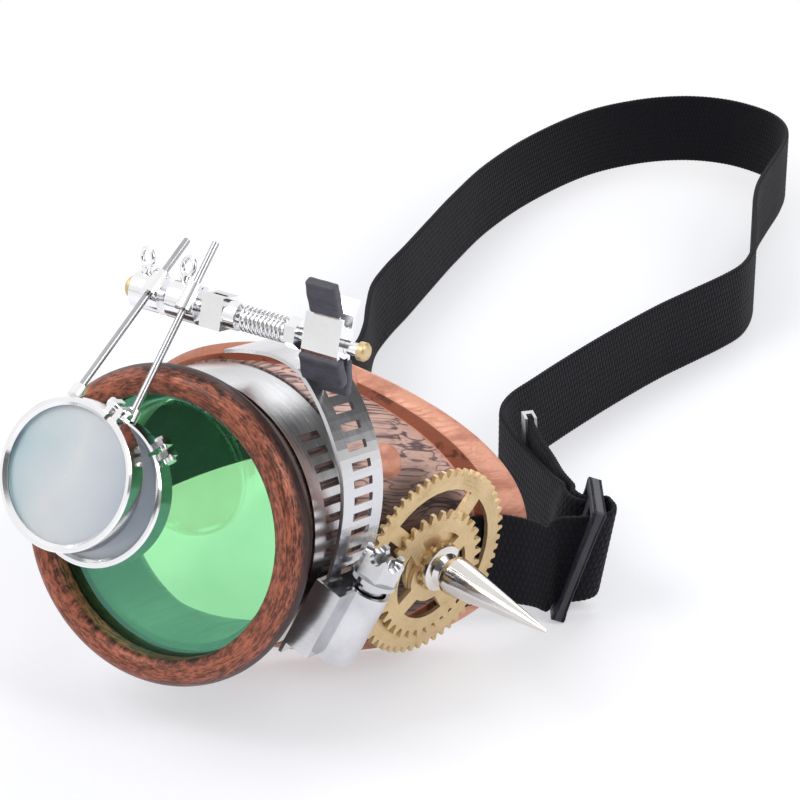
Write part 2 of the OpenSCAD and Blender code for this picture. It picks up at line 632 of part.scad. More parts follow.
// A window as wide as a quarter turn less the spoke
module window(r0, r1) {
  s = 45 - asin(spoke_w / 2 / r1);
  t = 45 - asin(spoke_w / 2 / r0);
  polygon(concat([for (k = [0:8]) let(a = -s + k * s / 4) r1 * [cos(a), sin(a)]],
    [for (k = [4:-1:0]) let(a = -t + k * t / 2) r0 * [cos(a), sin(a)]]));
}
module stud_hole() {
  translate([0, 0, -1]) cylinder(r = stud_r + fit, h = gear_t + 2);
}
module gear_large() {
  color("darkkhaki") at_gear() difference() {
    gear(gear_d / 2, 56, 1.3, 7, gear_d / 2 - 4, 14);
    stud_hole();
  }
}
module gear_medium() {
  color("khaki") at_gear(gear_t + 0.1) difference() {
    translate([medium_off[0], medium_off[1], 0]) gear(13.2, 32, 1.6, 5.4, 9, 0);
    stud_hole();
  }
}
module gear_small() {
  color("darkkhaki") at_gear(2 * gear_t + 0.2) difference() {
    linear_extrude(gear_t) toothed(5, 14, 0.8);
    stud_hole();
  }
}
// Tube that holds the gears off the flank
module gear_spacer() {
  color("goldenrod") at_gear(-3.6) tube(3, stud_r + fit, 3.5);
}
module spike() {
  color("silver") at_gear(3 * gear_t + 0.3) difference() {
    rotate_extrude() polygon([[0, 0], [4.6, 0], [4.6, 0.8], [3.4, 1.3], [2.7, 2.2], [2.9, 3],
      [3.7, 3.4], [3.8, 4.2], [0.35, 3.4 + spike_len], [0, 3.5 + spike_len]]);
    translate([0, 0, -1]) cylinder(r = stud_r + fit, h = 7);
  }
}
module spike_screw() {
  color("silver") at_gear(-8.2) {
    cylinder(r = stud_r, h = 16.4);
    cylinder(r = 4, h = 1.2);
  }
}

// A band on edge along a route, of thickness t and width w
function band_ring(p, i, t, w) = let(n = len(p) - 1,
  u = flat_dir(p[min(n, i + 1)] - p[max(0, i - 1)]), s = [u[1], -u[0]] * t / 2,
  z = floor_z + p[i][2], l = p[i][3] * lean_dir)
  [[p[i][0] + s[0] + l[0], p[i][1] + s[1] + l[1], z + w],
   [p[i][0] - s[0] + l[0], p[i][1] - s[1] + l[1], z + w],
   [p[i][0] - s[0], p[i][1] - s[1], z], [p[i][0] + s[0], p[i][1] + s[1], z]];
module elastic(points, n) {
  p = route(points, n);
  polyhedron([for (i = [0:len(p) - 1]) each band_ring(p, i, strap_t, strap_w)],
    concat(skin_faces(len(p), 4, false), end_faces(len(p), 4)), 4);
}
module strap_main() { color([0.12, 0.12, 0.14]) elastic(strap_main_route, 3); }
module strap_temple() { color([0.12, 0.12, 0.14]) elastic(strap_temple_route, 4); }
// Folded metal end on the strap's tail
crimp_turn = 130.5;
module strap_crimp() {
  tip = strap_temple_route[len(strap_temple_route) - 1];
  color("silver") translate([tip[0], tip[1], floor_z + tip[2]])
    rotate([0, 0, slider_turn]) rotate([0, atan(tip[3] / strap_w), 0])
      rotate([0, 0, crimp_turn - slider_turn]) difference() {
        translate([-2.2, -1.25, -0.4]) cube([3.8, 2.5, strap_w + 0.8]);
        translate([-3, -strap_t / 2, -1]) cube([3.1, strap_t, strap_w + 2]);
      }
}
module slider() {
  half = slot_c + slot_w / 2 + bar;
  color([0.2, 0.2, 0.24]) translate([slider_c[0], slider_c[1], floor_z + slider_mid])
    rotate([0, 0, slider_turn]) rotate([0, slider_lean, 0]) difference() {
      cube([slider_t, 2 * half, strap_w + 6.4], center = true);
      for (s = [-slot_c, slot_c]) translate([0, s, 0])
        cube([2 * slider_t, slot_w, strap_w + 3], center = true);
    }
}

eyecup();
lens_ring();
green_lens();
lens_gasket();
clamp_band();
clamp_tail();
clamp_housing();
clamp_screw();
clip_body();
clip_lever();
clip_spring();
upper_sleeve();
lever_sleeve();
jaw_sleeve();
rod();
rod_cap_left();
rod_cap_right();
bracket();
tension_spring();
hex_nut();
collar_front();
collar_rear();
thumb_screw_front();
thumb_screw_rear();
wire_front();
wire_rear();
loupe_ring_front();
loupe_ring_rear();
loupe_lens_front();
loupe_lens_rear();
loupe_screw_front();
loupe_screw_rear();
gear_large();
gear_medium();
gear_small();
gear_spacer();
spike();
spike_screw();
strap_main();
strap_temple();
strap_crimp();
slider();
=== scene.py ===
"""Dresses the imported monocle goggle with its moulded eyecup, woven strap, springs, grips and finishes."""

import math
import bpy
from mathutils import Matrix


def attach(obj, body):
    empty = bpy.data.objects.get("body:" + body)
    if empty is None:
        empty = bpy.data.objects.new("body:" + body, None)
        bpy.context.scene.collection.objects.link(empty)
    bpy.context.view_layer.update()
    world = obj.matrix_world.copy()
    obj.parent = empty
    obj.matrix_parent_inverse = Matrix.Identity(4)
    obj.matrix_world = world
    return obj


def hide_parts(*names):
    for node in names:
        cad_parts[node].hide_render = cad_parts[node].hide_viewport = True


bl_info = {
    "name": "Monocle Goggle Dressing",
    "version": (1, 0, 0),
    "blender": (4, 5, 0),
    "location": "View3D > Sidebar > Goggle",
    "description": "Moulded eyecup, woven strap, springs, grips, metal and glass finishes, and a stage",
    "category": "Object",
}

import bmesh
import bpy
from bpy.props import FloatProperty, FloatVectorProperty, IntProperty, PointerProperty
from mathutils import Matrix, Vector

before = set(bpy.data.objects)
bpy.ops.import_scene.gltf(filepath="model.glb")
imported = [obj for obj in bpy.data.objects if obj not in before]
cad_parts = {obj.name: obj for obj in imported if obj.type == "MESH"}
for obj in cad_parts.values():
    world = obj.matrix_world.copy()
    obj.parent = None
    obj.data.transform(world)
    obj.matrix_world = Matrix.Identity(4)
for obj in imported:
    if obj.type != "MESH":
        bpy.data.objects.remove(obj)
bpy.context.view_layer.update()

MM = 0.001
FLOOR = -40.5  # the table's height, in millimetres
FLOOR_Z = FLOOR * MM
STRAP_WIDE = 19  # millimetres

# ---- Frames of the goggle's own parts, in millimetres until they are scaled


def turn(axis, degrees):
    return Matrix.Rotation(math.radians(degrees), 4, axis)


def shift(x, y, z):
    return Matrix.Translation((x, y, z))


SCALE = Matrix.Scale(MM, 4)
GOGGLE = turn("X", -13.5)
ROD_Y, ROD_Z = 8.6, 39.0
CLIP_X = 22.8
CLIP = GOGGLE @ shift(CLIP_X, ROD_Y, ROD_Z) @ turn("Y", 2.4) @ shift(-CLIP_X, -ROD_Y, -ROD_Z)
GEARS = GOGGLE @ shift(33, 44.2, -6.6) @ turn("Z", -14) @ turn("Y", 99.4)
WORM = GOGGLE @ turn("Y", 22.5) @ shift(34.6, 17.5, 0)
SLIDER_TURN, SLIDER_LEAN = 30, 18
SLIDER_X, SLIDER_Y, SLIDER_MID = 46.1, 77.9, 12.6
SLIDER = shift(SLIDER_X, SLIDER_Y, FLOOR + SLIDER_MID) @ turn("Z", SLIDER_TURN) @ turn("Y", SLIDER_LEAN)


def metres(matrix):
    """The same frame with its place in metres."""
    out = matrix.copy()
    out.translation = matrix.translation * MM
    return out


# ---- Settings that a user may change


class GoggleSizes(bpy.types.PropertyGroup):
    cup_sides: IntProperty(
        name="Cup sides", description="Faces round the eyecup", default=216, min=72, max=360
    )
    strap_rows: IntProperty(
        name="Strap rows", description="Rib rows across the elastic", default=13, min=6, max=24
    )
    stitch: FloatProperty(
        name="Stitch", description="Length of one stitch of the elastic", default=1.1 * MM, unit="LENGTH"
    )
    curl_steps: IntProperty(
        name="Curl steps", description="Rings in a curl of a spring", default=28, min=12, max=64
    )
    grip_round: FloatProperty(
        name="Grip rounding", description="Rounding of the rubber grips", default=0.5 * MM, unit="LENGTH"
    )


def colour(name, description, default):
    return FloatVectorProperty(
        name=name, description=description, subtype="COLOR", size=3, min=0, max=1, default=default
    )


class GoggleColours(bpy.types.PropertyGroup):
    copper: colour("Copper", "Bright antique copper", (0.6, 0.185, 0.105))
    copper_pale: colour("Pale copper", "Rubbed copper of the flank", (0.86, 0.57, 0.48))
    rim: colour("Rim copper", "Orange copper of the face rim", (0.88, 0.42, 0.29))
    rim_deep: colour("Deep rim copper", "Shaded copper between the flank and the rim", (0.42, 0.13, 0.07))
    # Also used as painted shade round the gears and on the front face of the rim.
    patina_and_shade: colour("Patina", "Black that the copper is brushed over", (0.022, 0.012, 0.012))
    soot: colour("Soot", "Grey left in the fine lines of the flank", (0.16, 0.1, 0.11))
    steel: colour("Steel", "Stainless band", (0.74, 0.74, 0.76))
    chrome: colour("Chrome", "Bright plating", (0.93, 0.93, 0.94))
    wire: colour("Wire", "Drawn wires that carry the loupes", (0.5, 0.5, 0.52))
    tin: colour("Tin", "Folded crimp on the strap's end", (0.62, 0.61, 0.62))
    nickel: colour("Nickel", "Turned spike", (0.78, 0.75, 0.72))
    brass: colour("Brass", "Gear faces", (0.78, 0.59, 0.33))
    brass_dark: colour("Dark brass", "Worn places of the gears", (0.42, 0.28, 0.13))
    green: colour("Green", "Tint of the goggle lens", (0.35, 0.92, 0.38))
    inside: colour("Inside", "Satin inside of the cup", (0.08, 0.165, 0.16))
    clear: colour("Clear", "Tint of the loupe lenses", (0.92, 0.96, 0.99))
    elastic: colour("Elastic", "Yarn of the strap", (0.0045, 0.0042, 0.0065))
    rubber: colour("Rubber", "Grips on the clip", (0.075, 0.073, 0.09))
    plastic: colour("Plastic", "Strap slider", (0.028, 0.029, 0.038))


# ---- Node trees


def put(tree, kind, settings=None, inputs=None):
    """A shader node with its settings; an input is a value or the socket that feeds it."""
    node = tree.nodes.new("ShaderNode" + kind)
    for key, value in (settings or {}).items():
        setattr(node, key, value)
    for key, value in (inputs or {}).items():
        if isinstance(value, bpy.types.NodeSocket):
            tree.links.new(value, node.inputs[key])
        else:
            node.inputs[key].default_value = value
    return node


def ramp(tree, fac, stops):
    node = put(tree, "ValToRGB", None, {0: fac})
    bar = node.color_ramp
    while len(bar.elements) < len(stops):
        bar.elements.new(0.5)
    for element, (place, tone) in zip(bar.elements, stops):
        element.position = place
        element.color = (*tone, 1) if hasattr(tone, "__len__") else (tone, tone, tone, 1)
    return node.outputs[0]


def blend_colours(tree, fac, a, b, way="MIX"):
    def four(value):
        return value if isinstance(value, bpy.types.NodeSocket) else (*value, 1)

    node = put(tree, "Mix", {"data_type": "RGBA", "blend_type": way}, {0: fac, 6: four(a), 7: four(b)})
    return node.outputs[2]


def sums(tree, way, a, b=0.0, c=0.0):
    return put(tree, "Math", {"operation": way}, {0: a, 1: b, 2: c}).outputs[0]


def toward(tree, vector, way):
    """How far a vector reaches along a way."""
    return put(tree, "VectorMath", {"operation": "DOT_PRODUCT"}, {0: vector, 1: way}).outputs["Value"]


def distance(tree, vector, place):
    return put(tree, "VectorMath", {"operation": "DISTANCE"}, {0: vector, 1: place}).outputs["Value"]


def smooth(tree, value, low, high):
    node = put(tree, "MapRange", {"interpolation_type": "SMOOTHSTEP"}, {0: value, 1: low, 2: high})
    return node.outputs[0]


def place_in(tree, matrix):
    """Object coordinates seen from a part's own frame, in metres."""
    coord = put(tree, "TexCoord")
    at = metres(matrix)
    node = put(
        tree,
        "Mapping",
        {"vector_type": "TEXTURE"},
        {"Vector": coord.outputs["Object"], "Location": at.to_translation(), "Rotation": at.to_euler()},
    )
    return node.outputs[0]


def stretched(tree, vector, scale):
    return put(tree, "Mapping", None, {"Vector": vector, "Scale": scale}).outputs[0]


def noise(tree, vector, scale, detail=4.0, rough=0.55, warp=0.0):
    node = put(
        tree,
        "TexNoise",
        None,
        {"Vector": vector, "Scale": scale, "Detail": detail, "Roughness": rough, "Distortion": warp},
    )
    return node.outputs[0]


# Share of the grain's fineness that it has along the axis
LENGTHWISE = 0.7


def round_axis(tree, vector, axis, along, across):
    """Coordinates in which noise turns into grain that runs round an axis, with no seam."""
    parts = put(tree, "SeparateXYZ", None, {0: vector}).outputs
    u, v, w = [parts[k] for k in {"Y": (0, 2, 1), "Z": (0, 1, 2)}[axis]]
    radius = sums(tree, "SQRT", sums(tree, "ADD", sums(tree, "MULTIPLY", u, u), sums(tree, "MULTIPLY", v, v)))
    safe = sums(tree, "MAXIMUM", radius, 1e-5)
    depth = sums(tree, "MULTIPLY_ADD", w, LENGTHWISE * across, sums(tree, "MULTIPLY", radius, across))
    out = put(
        tree,
        "CombineXYZ",
        None,
        {
            0: sums(tree, "MULTIPLY", sums(tree, "DIVIDE", u, safe), along),
            1: sums(tree, "MULTIPLY", sums(tree, "DIVIDE", v, safe), along),
            2: depth,
        },
    )
    return out.outputs[0], radius, w


def bump(tree, height, depth, strength):
    node = put(tree, "Bump", None, {"Strength": strength, "Distance": depth, "Height": height})
    return node.outputs[0]


def start(name, metallic=0.0, roughness=0.4, ior=1.5, specular=0.5):
    material = bpy.data.materials.new(name)
    material.use_nodes = True
    tree = material.node_tree
    tree.nodes.clear()
    out = put(tree, "OutputMaterial")
    shader = put(
        tree,
        "BsdfPrincipled",
        None,
        {
            "Metallic": metallic,
            "Roughness": roughness,
            "IOR": ior,
            "Specular IOR Level": specular,
        },
    )
    tree.links.new(shader.outputs[0], out.inputs[0])
    return material, tree, shader


def feed(tree, shader, base=None, rough=None, normal=None):
    for key, socket in (("Base Color", base), ("Roughness", rough), ("Normal", normal)):
        if socket is not None:
            tree.links.new(socket, shader.inputs[key])


# ---- Finishes


def ring_copper(tones):
    """Copper brushed round the lens ring over black, worn bright on the crown of the lip."""
    material, tree, shader = start("ring_copper", metallic=0.4, specular=0.5)
    where = place_in(tree, GOGGLE)
    fine, radius, depth = round_axis(tree, where, "Y", 16.0, 3000.0)
    broad, _, _ = round_axis(tree, where, "Y", 4.5, 620.0)
    hairs = noise(tree, fine, 1.0, 5.0, 0.62, 0.5)
    patches = noise(tree, broad, 1.0, 4.0, 0.6, 0.8)
    flecks = noise(tree, where, 620.0, 4.0, 0.7)
    mixed = sums(tree, "MULTIPLY_ADD", patches, 0.3, sums(tree, "MULTIPLY", hairs, 0.5))
    mixed = sums(tree, "MULTIPLY_ADD", flecks, 0.2, mixed)
    worn = ramp(tree, mixed, [(0.42, 0.0), (0.48, 0.22), (0.53, 0.6), (0.62, 1.0)])
    base = blend_colours(tree, worn, tones.patina_and_shade, tones.copper)
    crown = sums(tree, "SUBTRACT", 1.0, smooth(tree, depth, 0.1 * MM, 1.4 * MM))
    base = blend_colours(tree, sums(tree, "MULTIPLY", crown, 0.18), base, tones.copper)
    outer = smooth(tree, radius, 26.8 * MM, 28.4 * MM)
    back = smooth(tree, depth, 1.1 * MM, 3.0 * MM)
    edge = sums(tree, "MULTIPLY", sums(tree, "MULTIPLY", outer, back), 0.9)
    base = blend_colours(tree, edge, base, tones.patina_and_shade)
    deep = smooth(tree, depth, 3.2 * MM, 4.3 * MM)
    base = blend_colours(tree, sums(tree, "MULTIPLY", deep, 0.6), base, tones.patina_and_shade)
    rough = ramp(tree, hairs, [(0.3, 0.3), (0.7, 0.5)])
    feed(tree, shader, base, rough, bump(tree, mixed, 0.22 * MM, 0.6))
    return material


def cup_copper(tones):
    """Copper rubbed over grey in long fine lines, with a plainer rim and a satin inside."""
    material, tree, shader = start("cup_copper", metallic=0.2, specular=0.5)
    where = place_in(tree, GOGGLE)
    lay = put(tree, "Attribute", {"attribute_name": "lay"}).outputs["Vector"]
    sway = noise(tree, where, 75.0, 0.0)
    aside = put(tree, "CombineXYZ", None, {0: sway, 1: sway, 2: 0.0}).outputs[0]
    swayed = put(
        tree, "VectorMath", {"operation": "MULTIPLY_ADD"}, {0: aside, 1: (6 * MM, 6 * MM, 0), 2: lay}
    ).outputs[0]
    strokes = noise(tree, stretched(tree, swayed, (700, 700, 13)), 1.0, 1.0, 0.4)
    broad = noise(tree, stretched(tree, swayed, (240, 240, 30)), 1.0, 3.0, 0.5)
    crossing = sums(tree, "ABSOLUTE", sums(tree, "SUBTRACT", strokes, 0.5))
    width = sums(tree, "MULTIPLY_ADD", broad, -0.12, 0.08)
    lines = smooth(tree, sums(tree, "SUBTRACT", crossing, sums(tree, "MAXIMUM", width, 0.0)), -0.03, 0.07)
    grain = noise(tree, stretched(tree, swayed, (1900, 1900, 140)), 1.0, 4.0, 0.6)
    worn = sums(tree, "MULTIPLY", lines, ramp(tree, grain, [(0.3, 0.55), (0.5, 1.0)]))
    flank = blend_colours(tree, worn, tones.soot, tones.copper_pale)
    near = put(tree, "SeparateXYZ", None, {0: lay}).outputs[2]
    # Darker towards the barrel: the flank is blended most of the way to black near the barrel, fading out a
    # few millimetres along it with a ragged edge.
    root_reach = sums(tree, "MULTIPLY_ADD", broad, 14 * MM, near)
    root = sums(tree, "SUBTRACT", 1.0, smooth(tree, root_reach, 26 * MM, 34 * MM))
    flank = blend_colours(tree, sums(tree, "MULTIPLY", root, 0.75), flank, tones.patina_and_shade)
    # Painted shade: in a ragged circle round the gears the flank is blended most of the way to black, where
    # the gears shade it.
    gears = distance(tree, where, (31 * MM, 42 * MM, -7 * MM))
    reach = sums(tree, "MULTIPLY_ADD", broad, 6 * MM, gears)
    painted_gear_shade = sums(tree, "SUBTRACT", 1.0, smooth(tree, reach, 17 * MM, 24 * MM))
    flank = blend_colours(tree, sums(tree, "MULTIPLY", painted_gear_shade, 0.8), flank, tones.patina_and_shade)
    blots = noise(tree, stretched(tree, where, (300, 120, 300)), 1.0, 5.0, 0.6, 0.6)
    marks = ramp(tree, blots, [(0.3, 0.2), (0.4, 0.8), (0.55, 1.0)])
    rim = blend_colours(tree, marks, tones.rim_deep, tones.rim)
    side = put(tree, "SeparateXYZ", None, {0: where}).outputs[0]
    shaded = sums(tree, "SUBTRACT", 1.0, smooth(tree, side, -10 * MM, 12 * MM))
    runs = noise(tree, stretched(tree, where, (90, 60, 260)), 1.0, 4.0, 0.6)
    streaks = ramp(tree, runs, [(0.48, 0.0), (0.68, 0.6)])
    darker = sums(tree, "MAXIMUM", sums(tree, "MULTIPLY", shaded, 0.8), streaks)
    rim = blend_colours(tree, darker, rim, tones.rim_deep)
    zone = put(tree, "Attribute", {"attribute_name": "zone"}).outputs["Fac"]
    # Painted shade: the front face of the rim bead, between the flank and the crest, is painted dark copper
    # and black, broken by random patches, as it faces away from the light.
    deep = blend_colours(tree, ramp(tree, blots, [(0.36, 0.35), (0.46, 1.0)]), tones.patina_and_shade, tones.rim_deep)
    rim = blend_colours(tree, smooth(tree, zone, 3.2, 3.9), rim, deep)
    base = blend_colours(tree, smooth(tree, zone, 2.2, 2.8), flank, rim)
    base = blend_colours(tree, smooth(tree, zone, 1.2, 0.8), base, tones.inside)
    rough = ramp(tree, worn, [(0.2, 0.6), (0.9, 0.4)])
    height = sums(tree, "MULTIPLY_ADD", worn, 0.35, sums(tree, "MULTIPLY", blots, 0.12))
    outside = smooth(tree, zone, 1.2, 1.6)
    feed(tree, shader, base, rough, bump(tree, sums(tree, "MULTIPLY", height, outside), 0.3 * MM, 0.45))
    return material


def bright_metal(name, tone, matrix, axis, along, across, rough, depth, dark=0.0):
    """Metal with fine grain that runs round an axis, and a few darker rubs."""
    material, tree, shader = start(name, metallic=1.0)
    where = place_in(tree, matrix)
    fine, _, _ = round_axis(tree, where, axis, along, across)
    hairs = noise(tree, fine, 1.0, 5.0, 0.6)
    smears = noise(tree, where, 140.0, 3.0, 0.5)
    shade = tuple(c * (1 - dark) for c in tone)
    base = blend_colours(tree, ramp(tree, smears, [(0.35, 0.0), (0.7, 1.0)]), shade, tuple(tone))
    low, high = rough
    mixed = sums(tree, "MULTIPLY_ADD", smears, 0.4, sums(tree, "MULTIPLY", hairs, 0.6))
    feed(tree, shader, base, ramp(tree, mixed, [(0.3, low), (0.7, high)]), bump(tree, hairs, depth, 0.4))
    return material


def gear_brass(tones):
    """Stamped brass, satin on its faces, with brown left in the worn places."""
    material, tree, shader = start("gear_brass", metallic=0.65)
    where = place_in(tree, GEARS)
    fine, radius, _ = round_axis(tree, where, "Z", 5.0, 2600.0)
    hairs = noise(tree, fine, 1.0, 5.0, 0.65)
    blots = noise(tree, where, 170.0, 4.0, 0.55, 0.3)
    mixed = sums(tree, "MULTIPLY_ADD", blots, 0.6, sums(tree, "MULTIPLY", hairs, 0.4))
    worn = ramp(tree, mixed, [(0.3, 0.25), (0.45, 0.8), (0.6, 1.0)])
    base = blend_colours(tree, worn, tones.brass_dark, tones.brass)
    rough = ramp(tree, mixed, [(0.35, 0.55), (0.65, 0.34)])
    feed(tree, shader, base, rough, bump(tree, hairs, 0.05 * MM, 0.4))
    return material


def glass(name, tint, rough, ior, smear, through=1.0):
    """Clear glass; through below 1 makes it partly milky."""
    material, tree, shader = start(name, roughness=rough, ior=ior)
    shader.inputs["Transmission Weight"].default_value = through
    where = place_in(tree, GOGGLE)
    dust = noise(tree, where, 160.0, 5.0, 0.6)
    pale = tuple(min(1.0, c + 0.03) for c in tint)
    base = blend_colours(tree, ramp(tree, dust, [(0.4, 0.0), (0.65, 1.0)]), tuple(tint), pale)
    feed(tree, shader, base, ramp(tree, dust, [(0.45, rough), (0.8, rough + smear)]))
    return material, tree, shader, base


def green_glass(tones):
    """Green glass whose shine is slightly teal."""
    material, tree, shader, base = glass("green_glass", tones.green, 0.0, 2.2, 0.03)
    shader.inputs["Specular Tint"].default_value = (0.4, 0.95, 0.78, 1.0)
    return material


def reflection_painted_glass(node, tones):
    """Glass whose colour carries a painted reflection that turns from a dark edge through teal and white to
    mauve across the lens.
    """
    material, tree, shader, base = glass(node + "_glass", tones.clear, 0.03, 1.8, 0.06, 0.15)
    corners = [Vector(c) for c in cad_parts[node].bound_box]
    middle = sum(corners, Vector()) / len(corners)
    where = put(tree, "TexCoord").outputs["Object"]
    here = put(tree, "VectorMath", {"operation": "SUBTRACT"}, {0: where, 1: middle}).outputs[0]
    across = toward(tree, here, (0.8, 0.4, -0.3))
    wander = noise(tree, where, 55.0, 2.0)
    place = sums(tree, "MULTIPLY_ADD", across, 1 / (25 * MM), sums(tree, "MULTIPLY_ADD", wander, 0.5, 0.25))
    # Painted reflection: bands of teal, white and mauve, with a dark edge, are multiplied into the lens
    # colour.
    teal, white, mauve = (0.66, 0.84, 0.87), (1.0, 1.0, 1.0), (0.74, 0.78, 0.86)
    painted_reflection = ramp(tree, place, [(0.02, (0.3, 0.4, 0.5)), (0.12, teal), (0.45, white), (0.95, mauve)])
    feed(tree, shader, blend_colours(tree, 1.0, base, painted_reflection, "MULTIPLY"))
    return material


def grip_rubber(tones):
    material, tree, shader = start("grip_rubber", specular=0.45)
    where = place_in(tree, CLIP)
    cells = put(tree, "TexVoronoi", None, {"Vector": where, "Scale": 2600.0}).outputs[0]
    folds = noise(tree, stretched(tree, where, (260, 420, 900)), 1.0, 4.0, 0.6)
    pale = tuple(c * 1.7 for c in tones.rubber)
    base = blend_colours(tree, ramp(tree, folds, [(0.4, 0.0), (0.75, 1.0)]), tones.rubber, pale)
    height = sums(tree, "MULTIPLY_ADD", folds, 0.8, sums(tree, "MULTIPLY", cells, 0.2))
    feed(tree, shader, base, ramp(tree, folds, [(0.3, 0.38), (0.7, 0.6)]), bump(tree, height, 0.12 * MM, 0.6))
    return material


def slider_plastic(tones):
    material, tree, shader = start("slider_plastic", specular=0.5)
    where = place_in(tree, SLIDER)
    grain = noise(tree, where, 3200.0, 3.0, 0.6)
    scuffs = noise(tree, stretched(tree, where, (500, 500, 90)), 1.0, 5.0, 0.65)
    pale = tuple(c * 2.4 for c in tones.plastic)
    base = blend_colours(tree, ramp(tree, scuffs, [(0.45, 0.0), (0.75, 1.0)]), tones.plastic, pale)
    height = sums(tree, "MULTIPLY_ADD", grain, 0.5, sums(tree, "MULTIPLY", scuffs, 0.5))
    rough = ramp(tree, scuffs, [(0.3, 0.36), (0.7, 0.55)])
    feed(tree, shader, base, rough, bump(tree, height, 0.05 * MM, 0.5))
    return material


def woven_elastic(tones, sizes):
    """Knitted elastic: rows of stitches run along the band, each row half a stitch off its neighbour."""
    material, tree, shader = start("woven_elastic", specular=0.16)
    shader.inputs["Sheen Weight"].default_value = 0.06
    shader.inputs["Sheen Roughness"].default_value = 0.45
    run = put(tree, "Attribute", {"attribute_name": "run"}).outputs["Vector"]
    parts = put(tree, "SeparateXYZ", None, {0: run}).outputs
    row = sums(tree, "MULTIPLY", parts[1], sizes.strap_rows / STRAP_W)
    odd = sums(tree, "MULTIPLY", sums(tree, "FLOOR", row), 0.5)
    along = sums(tree, "MULTIPLY_ADD", parts[0], 1.0 / sizes.stitch, odd)
    wave = sums(tree, "ABSOLUTE", sums(tree, "SINE", sums(tree, "MULTIPLY", along, math.pi)))
    ridge = sums(tree, "ABSOLUTE", sums(tree, "SINE", sums(tree, "MULTIPLY", row, math.pi)))
    stitch = sums(tree, "MULTIPLY", sums(tree, "POWER", wave, 0.6), sums(tree, "POWER", ridge, 0.5))
    fuzz = noise(tree, stretched(tree, run, (2600, 5200, 1)), 1.0, 4.0, 0.6)
    height = sums(tree, "MULTIPLY_ADD", stitch, 0.8, sums(tree, "MULTIPLY", fuzz, 0.25))
    pale = tuple(c * 2.2 for c in tones.elastic)
    base = blend_colours(tree, ramp(tree, height, [(0.35, 0.0), (0.95, 1.0)]), tones.elastic, pale)
    feed(tree, shader, base, ramp(tree, fuzz, [(0.3, 0.62), (0.7, 0.85)]), bump(tree, height, 0.28 * MM, 0.9))
    return material


# ---- Mesh tools


def linked(name, mesh, shade=True):
    """An object in the scene that holds the mesh."""
    obj = bpy.data.objects.new(name, mesh)
    bpy.context.scene.collection.objects.link(obj)
    for polygon in mesh.polygons:
        polygon.use_smooth = shade
    return obj


def from_bmesh(name, work):
    """An object made from work, which is freed."""
    mesh = bpy.data.meshes.new(name)
    work.to_mesh(mesh)
    work.free()
    return outward(linked(name, mesh))


def finish_mesh(name, points, faces, attributes=None, shade=True):
    mesh = bpy.data.meshes.new(name)
    mesh.from_pydata([tuple(p) for p in points], [], faces)
    for key, values in (attributes or {}).items():
        wide = hasattr(values[0], "__len__")
        layer = mesh.attributes.new(key, "FLOAT_VECTOR" if wide else "FLOAT", "POINT")
        flat = [c for v in values for c in v] if wide else values
        layer.data.foreach_set("vector" if wide else "value", flat)
    mesh.update()
    return linked(name, mesh, shade)


def skin(rows, sides, wrap):
    """Quads between loops of equal length. wrap joins the last loop to the first."""
    faces = []
    for j in range(rows if wrap else rows - 1):
        a, b = j * sides, ((j + 1) % rows) * sides
        for i in range(sides):
            k = (i + 1) % sides
            faces.append((a + i, a + k, b + k, b + i))
    return faces


def baked(obj):
    """obj with its modifiers made part of the mesh."""
    bpy.context.view_layer.update()
    graph = bpy.context.evaluated_depsgraph_get()
    mesh = bpy.data.meshes.new_from_object(obj.evaluated_get(graph))
    obj.modifiers.clear()
    obj.data = mesh
    return obj


def outward(obj):
    work = bmesh.new()
    work.from_mesh(obj.data)
    bmesh.ops.recalc_face_normals(work, faces=work.faces)
    work.to_mesh(obj.data)
    work.free()
    return obj


def tube(name, path, radius, sides, matrix):
    """A round tube along a path, with flat ends and a frame that doesn't twist."""
    count = len(path)
    path = [Vector(p) for p in path]
    steps = [(path[min(i + 1, count - 1)] - path[max(i - 1, 0)]).normalized() for i in range(count)]
    side = steps[0].orthogonal().normalized()
    points = []
    for centre, step in zip(path, steps):
        side = (side - step * side.dot(step)).normalized()
        other = step.cross(side)
        for k in range(sides):
            a = 2 * math.pi * k / sides
            points.append(centre + radius * (math.cos(a) * side + math.sin(a) * other))
    faces = skin(count, sides, False)
    faces += [tuple(range(sides))[::-1], tuple((count - 1) * sides + k for k in range(sides))]
    whole = SCALE @ matrix
    return outward(finish_mesh(name, [whole @ p for p in points], faces))


def rounded_block(name, low, high, radius, matrix, waves=None):
    """A block with rounded edges; waves moves its points, in millimetres in its own frame."""
    work = bmesh.new()
    bmesh.ops.create_cube(work, size=1.0)
    low, high = Vector(low), Vector(high)
    for vert in work.verts:
        vert.co = Vector([(low[k] + high[k]) / 2 + vert.co[k] * (high[k] - low[k]) for k in range(3)])
    long_edges = [e for e in work.edges if e.calc_length() > 2.5]
    bmesh.ops.subdivide_edges(work, edges=long_edges, cuts=9, use_grid_fill=True)
    sharp = [e for e in work.edges if len(e.link_faces) == 2 and e.calc_face_angle() > 0.5]
    bmesh.ops.bevel(work, geom=sharp, offset=radius, segments=4, profile=0.5, affect="EDGES")
    whole = SCALE @ matrix
    for vert in work.verts:
        if waves:
            vert.co = waves(vert.co)
        vert.co = whole @ vert.co
    return from_bmesh(name, work)


def cut(obj, low, high, matrix):
    """Takes a block out of obj."""
    cutter = rounded_block("cutter", low, high, 0.25, matrix)
    boolean = obj.modifiers.new("cut", "BOOLEAN")
    boolean.operation = "DIFFERENCE"
    boolean.solver = "EXACT"
    boolean.object = cutter
    baked(obj)
    bpy.data.objects.remove(cutter)
    return obj


def dress(obj, material, slot, body, *nodes):
    obj.data.materials.clear()
    obj.data.materials.append(material)
    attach(obj, body)
    if nodes:
        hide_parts(*nodes)
    return obj


